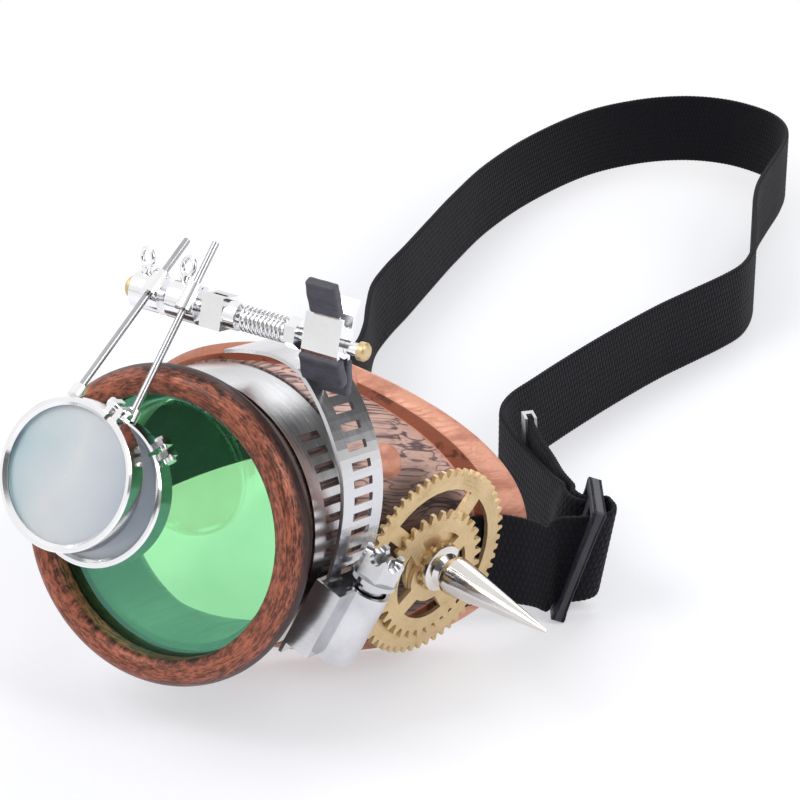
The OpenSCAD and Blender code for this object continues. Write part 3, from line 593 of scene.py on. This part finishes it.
def settings():
    scene = bpy.context.scene
    return scene.goggle_sizes, scene.goggle_colours


# ---- Stage


CAMERA_AT = (0.2606, -0.3673, 0.2346)
CAMERA_AZIMUTH, CAMERA_DIP, CAMERA_LENS = 29.77, 25.0, 126.9
LAMP_AIM = (0.01, 0.06, -0.01)
DIM_SIDE = (0.62, -0.74, 0.25)
DARK_GAP = (0.414, 0.797, 0.44)
TABLE_LIFT = 0.41
TABLE_MIDDLE = (0, 0.06, FLOOR_Z)
SHADOW_REACH, WHITE_FROM = 0.16, 0.36


class GOGGLE_OT_stage(bpy.types.Operator):
    """Sets the camera, the white table and the soft lamps"""

    bl_idname = "goggle.stage"
    bl_label = "Stage"

    def execute(self, context):
        scene = context.scene
        scene.view_settings.view_transform = "Standard"
        self.camera(scene)
        self.lamps(scene)
        self.world(scene)
        self.table(scene)
        return {"FINISHED"}

    def camera(self, scene):
        data = bpy.data.cameras.new("camera")
        data.lens = CAMERA_LENS
        data.sensor_width = 36.0
        data.clip_start = 0.01
        camera = bpy.data.objects.new("camera", data)
        camera.location = CAMERA_AT
        camera.rotation_euler = (math.radians(90 - CAMERA_DIP), 0, math.radians(CAMERA_AZIMUTH))
        scene.collection.objects.link(camera)
        scene.camera = camera

    def lamps(self, scene):
        for name, at, size, power, tone in (
            ("key_softbox", (-0.42, -0.38, 0.75), 0.5, 3.0, (1.0, 0.985, 0.96)),
            ("side_softbox", (0.75, 0.05, 0.5), 0.4, 2.4, (1.0, 0.99, 0.97)),
            ("back_softbox", (-0.1, 0.95, 0.7), 0.5, 2.2, (0.97, 0.98, 1.0)),
        ):
            data = bpy.data.lights.new(name, "AREA")
            data.energy = power
            data.size = size
            data.color = tone
            lamp = bpy.data.objects.new(name, data)
            lamp.location = at
            aim = Vector(LAMP_AIM) - Vector(at)
            lamp.rotation_euler = aim.to_track_quat("-Z", "Y").to_euler()
            scene.collection.objects.link(lamp)

    def world(self, scene):
        """White where it is seen directly or through glass; metal sees a dim side and a dark gap."""
        world = bpy.data.worlds.new("studio")
        world.use_nodes = True
        tree = world.node_tree
        tree.nodes.clear()
        rays = put(tree, "LightPath").outputs
        seen = sums(tree, "MAXIMUM", rays["Is Camera Ray"], rays["Is Transmission Ray"])
        way = put(tree, "TexCoord").outputs["Generated"]
        dim_side = toward(tree, way, DIM_SIDE)
        room = ramp(tree, dim_side, [(0.0, 1.0), (0.62, 0.95), (0.82, 0.25), (1.0, 0.12)])
        height = put(tree, "SeparateXYZ", None, {0: way}).outputs[2]
        low = ramp(tree, height, [(0.0, 0.8), (0.1, 0.85), (0.22, 1.0)])
        room = blend_colours(tree, 1.0, room, low, "MULTIPLY")
        gap = ramp(tree, toward(tree, way, DARK_GAP), [(0.84, 1.0), (0.93, 0.12), (1.0, 0.05)])
        room = blend_colours(tree, 1.0, room, gap, "MULTIPLY")
        mirror = blend_colours(tree, rays["Is Glossy Ray"], (0.47, 0.475, 0.49), room)
        tone = blend_colours(tree, seen, mirror, (1.0, 1.0, 1.0))
        background = put(tree, "Background", None, {"Color": tone, "Strength": 1.0})
        out = put(tree, "OutputWorld")
        tree.links.new(background.outputs[0], out.inputs[0])
        scene.world = world

    def table(self, scene):
        """A white table that keeps the soft shadow and turns into the white background farther out."""
        side = 4.0
        floor = finish_mesh(
            "table",
            [(x * side, y * side, FLOOR_Z) for x, y in ((-1, -1), (1, -1), (1, 1), (-1, 1))],
            [(0, 1, 2, 3)],
            shade=False,
        )
        material = bpy.data.materials.new("table_white")
        material.use_nodes = True
        tree = material.node_tree
        tree.nodes.clear()
        where = put(tree, "TexCoord").outputs["Object"]
        mottle = noise(tree, where, 8.0, 3.0)
        paint = blend_colours(tree, mottle, (0.69, 0.695, 0.745), (0.71, 0.715, 0.755))
        card = put(tree, "BsdfDiffuse", None, {"Color": paint})
        rays = put(tree, "LightPath").outputs
        seen = sums(tree, "MAXIMUM", rays["Is Camera Ray"], rays["Is Transmission Ray"])
        seen = sums(tree, "MAXIMUM", seen, rays["Is Glossy Ray"])
        glow = sums(tree, "MULTIPLY", seen, TABLE_LIFT)
        lift = put(tree, "Emission", None, {"Color": (1, 1, 1, 1), "Strength": glow})
        near = put(tree, "AddShader", None, {0: card.outputs[0], 1: lift.outputs[0]})
        white = put(tree, "Emission", None, {"Color": (1, 1, 1, 1), "Strength": 1.0})
        away = smooth(tree, distance(tree, where, TABLE_MIDDLE), SHADOW_REACH, WHITE_FROM)
        away = sums(tree, "MULTIPLY", away, seen)
        both = put(tree, "MixShader", None, {0: away, 1: near.outputs[0], 2: white.outputs[0]})
        out = put(tree, "OutputMaterial")
        tree.links.new(both.outputs[0], out.inputs[0])
        floor.data.materials.append(material)


# ---- Finishes on the rigid parts


class GOGGLE_OT_finishes(bpy.types.Operator):
    """Gives the metal and glass parts of the frame their finishes"""

    bl_idname = "goggle.finishes"
    bl_label = "Metal and glass"

    def execute(self, context):
        _, tones = settings()
        steel = bright_metal("band_steel", tones.steel, GOGGLE, "Y", 3.0, 3600.0, (0.12, 0.3), 0.02 * MM, 0.1)
        worm = bright_metal("worm_steel", tones.steel, WORM, "Z", 4.0, 3000.0, (0.1, 0.26), 0.02 * MM, 0.25)
        chrome = bright_metal(
            "clip_chrome", tones.chrome, CLIP, "Y", 40.0, 900.0, (0.07, 0.2), 0.012 * MM, 0.04
        )
        nickel = bright_metal(
            "spike_nickel", tones.nickel, GEARS, "Z", 2.0, 2600.0, (0.06, 0.2), 0.02 * MM, 0.1
        )
        wire = bright_metal("loupe_wire", tones.wire, CLIP, "Z", 3.0, 1800.0, (0.2, 0.36), 0.01 * MM, 0.2)
        tin = bright_metal("crimp_tin", tones.tin, SLIDER, "Z", 3.0, 1500.0, (0.3, 0.5), 0.03 * MM, 0.15)
        brass = gear_brass(tones)
        for nodes, material in (
            ("lens_ring", ring_copper(tones)),
            ("green_lens", green_glass(tones)),
            ("loupe_lens_front", reflection_painted_glass("loupe_lens_front", tones)),
            ("loupe_lens_rear", reflection_painted_glass("loupe_lens_rear", tones)),
            ("clamp_band clamp_tail", steel),
            ("clamp_housing clamp_screw", worm),
            ("gear_large gear_medium gear_small gear_spacer rod_cap_left rod_cap_right", brass),
            ("spike spike_screw", nickel),
            ("strap_crimp", tin),
            ("wire_front wire_rear", wire),
            ("clip_body clip_lever rod bracket hex_nut collar_front collar_rear", chrome),
            ("thumb_screw_front thumb_screw_rear loupe_ring_front loupe_ring_rear", chrome),
            ("loupe_screw_front loupe_screw_rear", chrome),
        ):
            for node in nodes.split():
                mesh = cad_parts[node].data
                if not mesh.materials:
                    mesh.materials.append(material)
                for k in range(len(mesh.materials)):
                    mesh.materials[k] = material
        return {"FINISHED"}


# ---- Eyecup


BARREL_Y, SHOULDER_Y, FLANGE_Y = 7.5, 9.8, 24.8
THREAD_R, BARREL_R, BORE_R = 25.3, 26.4, 22.8
RIM_TEMPLE, RIM_NOSE, RIM_HALF, DROOP = 41.0, 30.5, 29.8, 6.2
FLANK_TEMPLE, FLANK_NOSE, FLANK_HALF = 34.5, 27.0, 26.6
BEAD, WALL = 3.8, 2.4
CREST, BEVEL = 0.5, 2.6
# Values of the zone attribute, which the cup's material reads
INSIDE, EDGE, BARREL, FLANK, RIM, FACE = 0.0, 1.4, 1.6, 2.0, 3.0, 4.0
# Place, lean and size of each raised vent
VENTS = ((12, 40, 24.5, 12, 0.9), (24, 38, 11.4, 60, 1.15))
# Half the thickness and half the height of an opening that the strap passes through
SLOT_T, SLOT_H = 1.35, 10.3


def rim_front(x):
    return 26.8 + 33.2 * (max(0.0, x + 10) / 44.5) ** 1.2


def droop(x):
    u = max(0.0, x / RIM_TEMPLE) ** 2
    return -DROOP * u / (u + 0.25)


def egg(t, temple, nose, half):
    x = math.cos(t) * (temple if math.cos(t) > 0 else nose)
    return x, half * math.sin(t) + droop(x)


def ring_loop(sides, r, y):
    return [(r * math.cos(t), y, r * math.sin(t)) for t in angles(sides)]


def angles(sides):
    return [2 * math.pi * i / sides for i in range(sides)]


def flank_loop(sides, r0, y0, reach, s, lift):
    out = []
    w = s**1.35
    for t in angles(sides):
        ex, ez = egg(t, *reach)
        y1 = rim_front(ex) + lift
        out.append(
            (
                r0 * math.cos(t) * (1 - w) + ex * w,
                y0 * (1 - s) + y1 * s,
                r0 * math.sin(t) * (1 - w) + ez * w,
            )
        )
    return out


def rim_loop(sides, inset, lift):
    out = []
    for t in angles(sides):
        ex, ez = egg(t, RIM_TEMPLE - inset, RIM_NOSE - inset, RIM_HALF - inset)
        ox, _ = egg(t, RIM_TEMPLE, RIM_NOSE, RIM_HALF)
        out.append((ex, rim_front(ox) + lift, ez))
    return out


def quarter(radius, steps=4):
    """Inset and lift round a quarter turn."""
    for k in range(steps + 1):
        a = math.radians(90 * k / steps)
        yield radius * (1 - math.sin(a)), radius * (1 - math.cos(a))


class GOGGLE_OT_eyecup(bpy.types.Operator):
    """Makes the moulded eyecup with its barrel, flank, rim bead, vents, strap window and strap loop"""

    bl_idname = "goggle.eyecup"
    bl_label = "Eyecup"

    def execute(self, context):
        sizes, tones = settings()
        material = cup_copper(tones)
        shell = self.shell(sizes.cup_sides)
        window = shift(37.2, 66.2, FLOOR + 3 + STRAP_WIDE / 2) @ turn("Z", 28)
        cut(shell, (-6, -SLOT_T, -SLOT_H), (6, SLOT_T, SLOT_H), window)
        dress(shell, material, "cup", "frame", "eyecup")
        for k, (x, y, z, lean, size) in enumerate(VENTS):
            vent = self.vent(f"eyecup_vent_{k + 1}", GOGGLE @ shift(x, y, z) @ turn("Y", lean), size)
            dress(vent, material, "cup", "frame")
        loop = shift(-34, 30.5, FLOOR + 18 + STRAP_WIDE / 2)
        lug = rounded_block("strap_loop", (-4.2, -1.7, -12.5), (4.2, 1.7, 12.5), 0.6, loop)
        cut(lug, (-SLOT_T, -4, -SLOT_H), (SLOT_T, 4, SLOT_H), loop)
        self.zone(lug, FLANK)
        dress(lug, material, "cup", "frame")
        return {"FINISHED"}

    def zone(self, obj, value):
        layer = obj.data.attributes.get("zone") or obj.data.attributes.new("zone", "FLOAT", "POINT")
        layer.data.foreach_set("value", [value] * len(obj.data.vertices))

    def shell(self, n):
        rows = []

        def add(loop, zone):
            rows.append((loop, zone))

        add(ring_loop(n, THREAD_R, BARREL_Y), BARREL)
        add(ring_loop(n, THREAD_R, SHOULDER_Y - 0.1), BARREL)
        add(ring_loop(n, BARREL_R - 0.2, SHOULDER_Y), BARREL)
        add(ring_loop(n, BARREL_R, SHOULDER_Y + 0.2), BARREL)
        for k in range(1, 7):
            add(ring_loop(n, BARREL_R, SHOULDER_Y + 0.2 + (FLANGE_Y - SHOULDER_Y - 0.4) * k / 6), BARREL)
        for r, lift in ((27.2, 0.0), (27.4, 0.2), (27.4, 0.7), (27.1, 0.95)):
            add(ring_loop(n, r, FLANGE_Y + lift), FLANK)
        reach = (FLANK_TEMPLE, FLANK_NOSE, FLANK_HALF)
        steps = 30
        for k in range(steps + 1):
            add(flank_loop(n, 26.2, FLANGE_Y + 1.2, reach, k / steps, 0), FLANK if k < steps else FACE)
        root = flank_loop(n, 26.2, FLANGE_Y + 1.2, reach, 1, 0)
        crest = self.between(rim_loop(n, 0, 0), root, CREST)
        brow = rim_loop(n, 0, BEVEL)
        for fac in (0.05, 0.5, 0.88, 0.97):
            add(self.between(root, crest, fac), FACE)
        for fac in (0.04, 0.14, 0.3, 0.5, 0.7, 0.85, 0.95):
            bulge = 0.35 * math.sin(math.pi * fac)
            add([(x, y - bulge, z) for x, y, z in self.between(crest, brow, fac)], RIM)
        for lift in (BEVEL + 0.05, (BEVEL + BEAD - 0.7) / 2):
            add(rim_loop(n, 0, lift), RIM)
        for inset, lift in reversed(list(quarter(0.7))):
            add(rim_loop(n, inset, BEAD - lift), RIM)
        for inset in (1.6, 2.4, 3.0):
            add(rim_loop(n, inset, BEAD), RIM)
        add(rim_loop(n, 3.4, BEAD - 0.25), EDGE)
        add(rim_loop(n, 3.6, BEAD - 0.6), INSIDE)
        inner = (FLANK_TEMPLE - WALL, FLANK_NOSE - WALL, FLANK_HALF - WALL)
        for k in range(12, -1, -1):
            add(flank_loop(n, BORE_R, FLANGE_Y, inner, k / 12 * 0.93, BEAD - 2), INSIDE)
        for k in range(1, 6):
            add(ring_loop(n, BORE_R, FLANGE_Y + (BARREL_Y - FLANGE_Y) * k / 5), INSIDE)
        whole = SCALE @ GOGGLE
        points = [whole @ Vector(p) for loop, _ in rows for p in loop]
        zones = [zone for loop, zone in rows for _ in loop]
        lay, gone = [], [0.0] * n
        for j, (loop, _) in enumerate(rows):
            for i, p in enumerate(loop):
                if j:
                    gone[i] += (Vector(p) - Vector(rows[j - 1][0][i])).length * MM
                t = 2 * math.pi * i / n
                lay.append((30 * MM * math.cos(t), 30 * MM * math.sin(t), gone[i]))
        layers = {"zone": zones, "lay": lay}
        return outward(finish_mesh("eyecup_shell", points, skin(len(rows), n, True), layers))

    def between(self, a, b, fac):
        return [tuple(Vector(p).lerp(Vector(q), fac)) for p, q in zip(a, b)]

    def vent(self, name, matrix, size):
        """A scoop that swells out of the flank."""
        work = bmesh.new()
        bmesh.ops.create_uvsphere(work, u_segments=48, v_segments=32, radius=1)
        for vert in work.verts:
            x, y, z = vert.co
            vert.co = Vector((x * (3.0 + 0.9 * y), 4.4 * y, 2.5 * z * (1 + 0.15 * y) - 0.2)) * size
        whole = SCALE @ matrix
        for vert in work.verts:
            vert.co = whole @ vert.co
        obj = from_bmesh(name, work)
        self.zone(obj, RIM)
        return obj


# ---- Gasket


class GOGGLE_OT_gasket(bpy.types.Operator):
    """Makes the rounded rubber gasket behind the lens"""

    bl_idname = "goggle.gasket"
    bl_label = "Lens gasket"

    def execute(self, context):
        _, tones = settings()
        sides, steps = 144, 10
        middle, half, depth = 24.0, 1.0, 0.46
        points = []
        for k in range(steps):
            a = 2 * math.pi * k / steps
            points += ring_loop(sides, middle + half * math.cos(a), 7.0 + depth * math.sin(a))
        whole = SCALE @ GOGGLE
        points = [whole @ Vector(p) for p in points]
        gasket = finish_mesh("lens_gasket_rounded", points, skin(steps, sides, True))
        dress(outward(gasket), grip_rubber(tones), "gasket", "frame", "lens_gasket")
        return {"FINISHED"}


# ---- Strap


STRAP_W = STRAP_WIDE * MM
STRAP_T = 1.3 * MM
LEAN = Vector((math.cos(math.radians(SLIDER_TURN)), math.sin(math.radians(SLIDER_TURN))))
SLIDER_C = Vector((SLIDER_X, SLIDER_Y))


def by_slider(n, t, lean):
    """A route point given across the slider's face (n) and along it (t)."""
    q = SLIDER_C + (n - lean / 2) * LEAN + t * Vector((-LEAN.y, LEAN.x))
    return (q.x, q.y, SLIDER_MID - STRAP_WIDE / 2, lean)


# Each point is x, y, the height above the table and the lean of the top edge, in millimetres.
MAIN_ROUTE = [
    *(by_slider(*p) for p in ((2.2, 2.9, 6), (0.6, 3, 6), (-1.6, 3.2, 6), (-3.3, 4.2, 6))),
    *(by_slider(*p) for p in ((-4.4, 6, 6), (-4.5, 8.4, 5), (-3.8, 11, 3))),
    (35, 89.8, 2, 0), (30.4, 94.4, 1, 0), (23, 101.6, 0, 0), (14.6, 109.4, 0, 0), (9.2, 116, 0, 0),
    (7.2, 124, 0, 0), (7.8, 134, 0, 0), (9, 148, 0, 0), (11, 165, 0, 0), (14, 184, 0, 0),
    (17, 197, 0, 0), (19.8, 209, 0, 0), (20.8, 218, 0, 0), (19, 228, 0, 0), (15, 238, 0, 0),
    (10.2, 249.6, 0, 0), (5, 262, 0, 0), (1.8, 272, 0, 0), (-0.6, 284, 0, 0), (-3.4, 299, 0, 0),
    (-7, 311, 0, 0), (-13, 319.6, 0, 0), (-21, 324.6, 0, 0), (-32, 326.6, 0, 0), (-43, 323.4, 0, 0),
    (-53, 314, 0, 0), (-61, 298, 0, 0), (-65, 273, 0, 0), (-65, 248, 0, 0), (-62, 225, 0, 0),
    (-58.4, 205, 0, 0), (-55.2, 188, 0, 0), (-53, 175, 0, 0), (-50, 163, 0, 0), (-45, 152, 0, 0),
    (-39.4, 141, 0, 0), (-35.6, 130, 0, 0), (-34.6, 118, 2, 0), (-36, 98, 6, 0), (-37, 76, 11, 0),
    (-36.6, 56, 15, 0), (-35.4, 43, 17, 0), (-34, 34, 18, 0), (-34, 27, 18, 0),
]
TEMPLE_ROUTE = [
    (31.8, 46.8, 8.6, 0), (32.8, 49.6, 8.5, 0), (34.3, 53.6, 8.3, 0), (36.3, 57.2, 8, 0),
    (38.9, 60.2, 7.4, 0), (41.7, 63.4, 6, 0), (43, 66.8, 4, 0), (43.8, 69.6, 2, 0),
    *(by_slider(*p) for p in ((-4.4, -4.6, 1), (-2, -4.1, 2), (0.6, -3.9, 2.4), (3.2, -3.2, 3))),
    *(by_slider(*p) for p in ((5.2, -1.6, 3.2), (5.7, 0.8, 3.2), (5, 3.2, 3.4), (3.8, 4.5, 5))),
    *(by_slider(*p) for p in ((2, 4.8, 6), (0.2, 4.8, 6), (-1.4, 5.1, 6), (-2.7, 6.4, 6))),
    *(by_slider(*p) for p in ((-2.8, 8.2, 5), (-1.8, 10.4, 3))),
    (36, 90.9, 3, 0), (31.4, 96, 3, 0), (26.4, 101.6, 3.6, -0.6), (20.6, 108.4, 4.4, -1),
]


def even_route(points, step):
    """Points on a smooth curve through the route, evenly spaced, and the curve's length."""
    p = [Vector(q) for q in points]
    last = len(p) - 1
    fine = []
    for i in range(last):
        a, b, c, d = p[max(0, i - 1)], p[i], p[i + 1], p[min(last, i + 2)]
        for k in range(24):
            u = k / 24
            square, cube = 2 * a - 5 * b + 4 * c - d, 3 * b - a - 3 * c + d
            fine.append(0.5 * (2 * b + (c - a) * u + square * u * u + cube * u**3))
    fine.append(p[-1])
    gone = [0.0]
    for a, b in zip(fine, fine[1:]):
        gone.append(gone[-1] + (b.xy - a.xy).length)
    count = max(2, round(gone[-1] / step))
    out, j = [], 0
    for k in range(count + 1):
        goal = gone[-1] * k / count
        while j < len(gone) - 2 and gone[j + 1] < goal:
            j += 1
        span = gone[j + 1] - gone[j]
        out.append(fine[j].lerp(fine[j + 1], (goal - gone[j]) / span if span else 0.0))
    return out, gone[-1]


class GOGGLE_OT_strap(bpy.types.Operator):
    """Weaves the two runs of the elastic strap"""

    bl_idname = "goggle.strap"
    bl_label = "Elastic strap"

    def execute(self, context):
        sizes, tones = settings()
        material = woven_elastic(tones, sizes)
        for name, route, node in (
            ("strap_woven_main", MAIN_ROUTE, "strap_main"),
            ("strap_woven_temple", TEMPLE_ROUTE, "strap_temple"),
        ):
            band, length = self.band(name, route, sizes)
            dress(band, material, "elastic", "frame", node)
        return {"FINISHED"}

    def band(self, name, route, sizes):
        step = sizes.stitch / 2
        path, length = even_route(route, step / MM)
        across = self.section(sizes.strap_rows)
        points, run = [], []
        count = len(path)
        for i, p in enumerate(path):
            ahead = (path[min(i + 1, count - 1)] - path[max(i - 1, 0)]).xy.normalized()
            normal = Vector((ahead.y, -ahead.x, 0))
            lean = Vector((LEAN.x, LEAN.y, 0)) * p[3]
            tick = 0.07 if i % 2 else -0.07
            for w, off, edge in across:
                high = min(max(w + edge * tick / STRAP_WIDE, 0.0), 1.0)
                at = Vector((p.x, p.y, FLOOR + p.z + high * STRAP_WIDE)) + lean * high + normal * off
                points.append(at * MM)
                run.append((i * step, w * STRAP_W, off))
        sides = len(across)
        faces = skin(count, sides, False)
        faces += [tuple(range(sides))[::-1], tuple((count - 1) * sides + k for k in range(sides))]
        return outward(finish_mesh(name, points, faces, {"run": run})), length * MM

    def section(self, rows):
        """Round the band: place across the width from 0 to 1, offset from the middle, and edge sign."""
        half = STRAP_T / MM / 2
        ridge = 0.07
        face = []
        for k in range(2 * rows + 1):
            w = 0.03 + 0.94 * k / (2 * rows)
            face.append((w, half - (ridge if k % 2 == 0 else 0.0), 0))
        low = [(0.0, half * 0.3, -1), (0.008, half * 0.75, -1)]
        high = [(0.992, half * 0.75, 1), (1.0, half * 0.3, 1)]
        front = low + face + high
        back = [(w, -off, edge) for w, off, edge in reversed(front)]
        return front + back


# ---- Slider


class GOGGLE_OT_slider(bpy.types.Operator):
    """Moulds the strap slider with its rounded bars and thicker ends"""

    bl_idname = "goggle.slider"
    bl_label = "Strap slider"

    def execute(self, context):
        _, tones = settings()

        def waves(co):
            end = max(0.0, abs(co.z) - 9.6) / 3.1
            bar = min(1.0, max(0.0, (abs(co.y) - 6.0) / 1.9))
            return Vector((co.x * (0.86 + 0.3 * end + 0.06 * bar), co.y, co.z))

        body = rounded_block("slider_moulded", (-1.35, -7.9, -12.7), (1.35, 7.9, 12.7), 0.75, SLIDER, waves)
        for side in (-1, 1):
            cut(body, (-3, 3.9 * side - 2.3, -11), (3, 3.9 * side + 2.3, 11), SLIDER)
        dress(body, slider_plastic(tones), "buckle", "slider", "slider")
        return {"FINISHED"}


# ---- Springs


BRACKET_END, NUT_X = 7.9, 18.4
CLIP_BODY_X0, CLIP_BODY_X1, PLATE = 23.8, 28.6, 0.8


def coil(name, x0, turns, radius, pitch, wire, bend, steps):
    """A spring on the rod whose ends bend over and run straight along the rod."""

    def leg(side, at):
        out = []
        for k in (5, 4, 3, 2, 1):
            a = math.radians(min(k, 4) * 22.5)
            extra = wire if k == 5 else 0.0
            along = side * (bend * (1 - math.cos(a)) + extra)
            out.append(at + Vector((along, 0, side * bend * math.sin(a))))
        return out

    path = []
    for i in range(round(turns * steps) + 1):
        t = i / steps
        a = 2 * math.pi * t
        path.append(Vector((x0 + t * pitch, radius * math.cos(a), radius * math.sin(a))))
    path = leg(-1, path[0]) + path + leg(1, path[-1])[::-1]
    return tube(name, path, wire / 2, 12, CLIP @ shift(0, ROD_Y, ROD_Z))


class GOGGLE_OT_springs(bpy.types.Operator):
    """Winds the tension spring on the rod and the small spring of the clip"""

    bl_idname = "goggle.springs"
    bl_label = "Springs"

    def execute(self, context):
        sizes, tones = settings()
        wire = bright_metal(
            "spring_wire", tones.chrome, CLIP, "Y", 30.0, 2400.0, (0.14, 0.3), 0.02 * MM, 0.06
        )
        turns, thick, bend = 10, 0.46, 0.3
        room = NUT_X - BRACKET_END - 2 * (bend + thick) - 0.08
        x0 = BRACKET_END + bend + thick + 0.02
        steps = sizes.curl_steps
        spring = coil("tension_spring_wound", x0, turns, 2.2, room / turns, thick, bend, steps)
        dress(spring, wire, "chrome", "arm", "tension_spring")
        turns, thick, bend = 3, 0.3, 0.15
        room = CLIP_BODY_X1 - CLIP_BODY_X0 - 2 * (PLATE + bend + thick + 0.02)
        x0 = CLIP_BODY_X0 + PLATE + bend + thick + 0.02
        small = coil("clip_spring_wound", x0, turns, 1.7, room / turns, thick, bend, steps)
        dress(small, wire, "chrome", "frame", "clip_spring")
        return {"FINISHED"}


# ---- Grips


class GOGGLE_OT_grips(bpy.types.Operator):
    """Pulls the rubber grips over the ends of the clip's plates"""

    bl_idname = "goggle.grips"
    bl_label = "Rubber grips"

    def execute(self, context):
        sizes, tones = settings()
        rubber = grip_rubber(tones)
        for name, a, b, x0, x1, wall, body, node in (
            ("upper_grip", (5.64, 44.7), (2.12, 50.56), 24.1, 29.1, 0.6, "clip_lever", "upper_sleeve"),
            ("lever_grip", (6.5, 36.64), (9.35, 31.74), 22.5, 29.9, 0.6, "clip_lever", "lever_sleeve"),
            ("jaw_grip", (12.45, 35.7), (14.0, 29.0), 21.2, 28.6, 0.5, "frame", "jaw_sleeve"),
        ):
            self.grip(name, a, b, x0, x1, wall, rubber, body, node, sizes.grip_round / MM)
        return {"FINISHED"}

    def grip(self, name, a, b, x0, x1, wall, rubber, body, node, rounding):
        reach = math.hypot(b[0] - a[0], b[1] - a[1])
        lean = math.degrees(math.atan2(b[1] - a[1], b[0] - a[0]))
        at = CLIP @ shift((x0 + x1) / 2, a[0], a[1]) @ turn("X", lean)
        half = (x1 - x0) / 2 + wall
        thick = PLATE / 2 + wall

        def waves(co):
            swell = 1 + 0.06 * math.sin(co.y * 1.9) + 0.04 * math.sin(co.x * 2.3 + co.y)
            return Vector((co.x * (1 - 0.02 * math.sin(co.y * 1.3)), co.y, co.z * swell * 0.95))

        low, high = (-half, 0.0, -thick), (half, reach, thick)
        obj = rounded_block(name, low, high, min(rounding, thick * 0.6), at, waves)
        dress(obj, rubber, "sleeve", body, node)


# ---- Panel and registration


ORDER = ("stage", "finishes", "eyecup", "gasket", "strap", "slider", "springs", "grips")


class GOGGLE_PT_panel(bpy.types.Panel):
    """Lists the goggle's pieces, sizes and colours"""

    bl_label = "Goggle"
    bl_idname = "GOGGLE_PT_panel"
    bl_space_type = "VIEW_3D"
    bl_region_type = "UI"
    bl_category = "Goggle"

    def draw(self, context):
        layout = self.layout
        for name in ORDER:
            layout.operator("goggle." + name)
        for group in (context.scene.goggle_sizes, context.scene.goggle_colours):
            box = layout.box()
            for key in group.bl_rna.properties.keys():
                if key not in {"rna_type", "name"}:
                    box.prop(group, key)


CLASSES = (
    GoggleSizes,
    GoggleColours,
    GOGGLE_OT_stage,
    GOGGLE_OT_finishes,
    GOGGLE_OT_eyecup,
    GOGGLE_OT_gasket,
    GOGGLE_OT_strap,
    GOGGLE_OT_slider,
    GOGGLE_OT_springs,
    GOGGLE_OT_grips,
    GOGGLE_PT_panel,
)


def register():
    for cls in CLASSES:
        bpy.utils.register_class(cls)
    bpy.types.Scene.goggle_sizes = PointerProperty(type=GoggleSizes)
    bpy.types.Scene.goggle_colours = PointerProperty(type=GoggleColours)


def unregister():
    del bpy.types.Scene.goggle_colours
    del bpy.types.Scene.goggle_sizes
    for cls in reversed(CLASSES):
        bpy.utils.unregister_class(cls)


def main():
    register()
    for name in ORDER:
        if getattr(bpy.ops.goggle, name)() != {"FINISHED"}:
            raise RuntimeError(f"the {name} step did not finish")


if __name__ == "__main__":
    main()
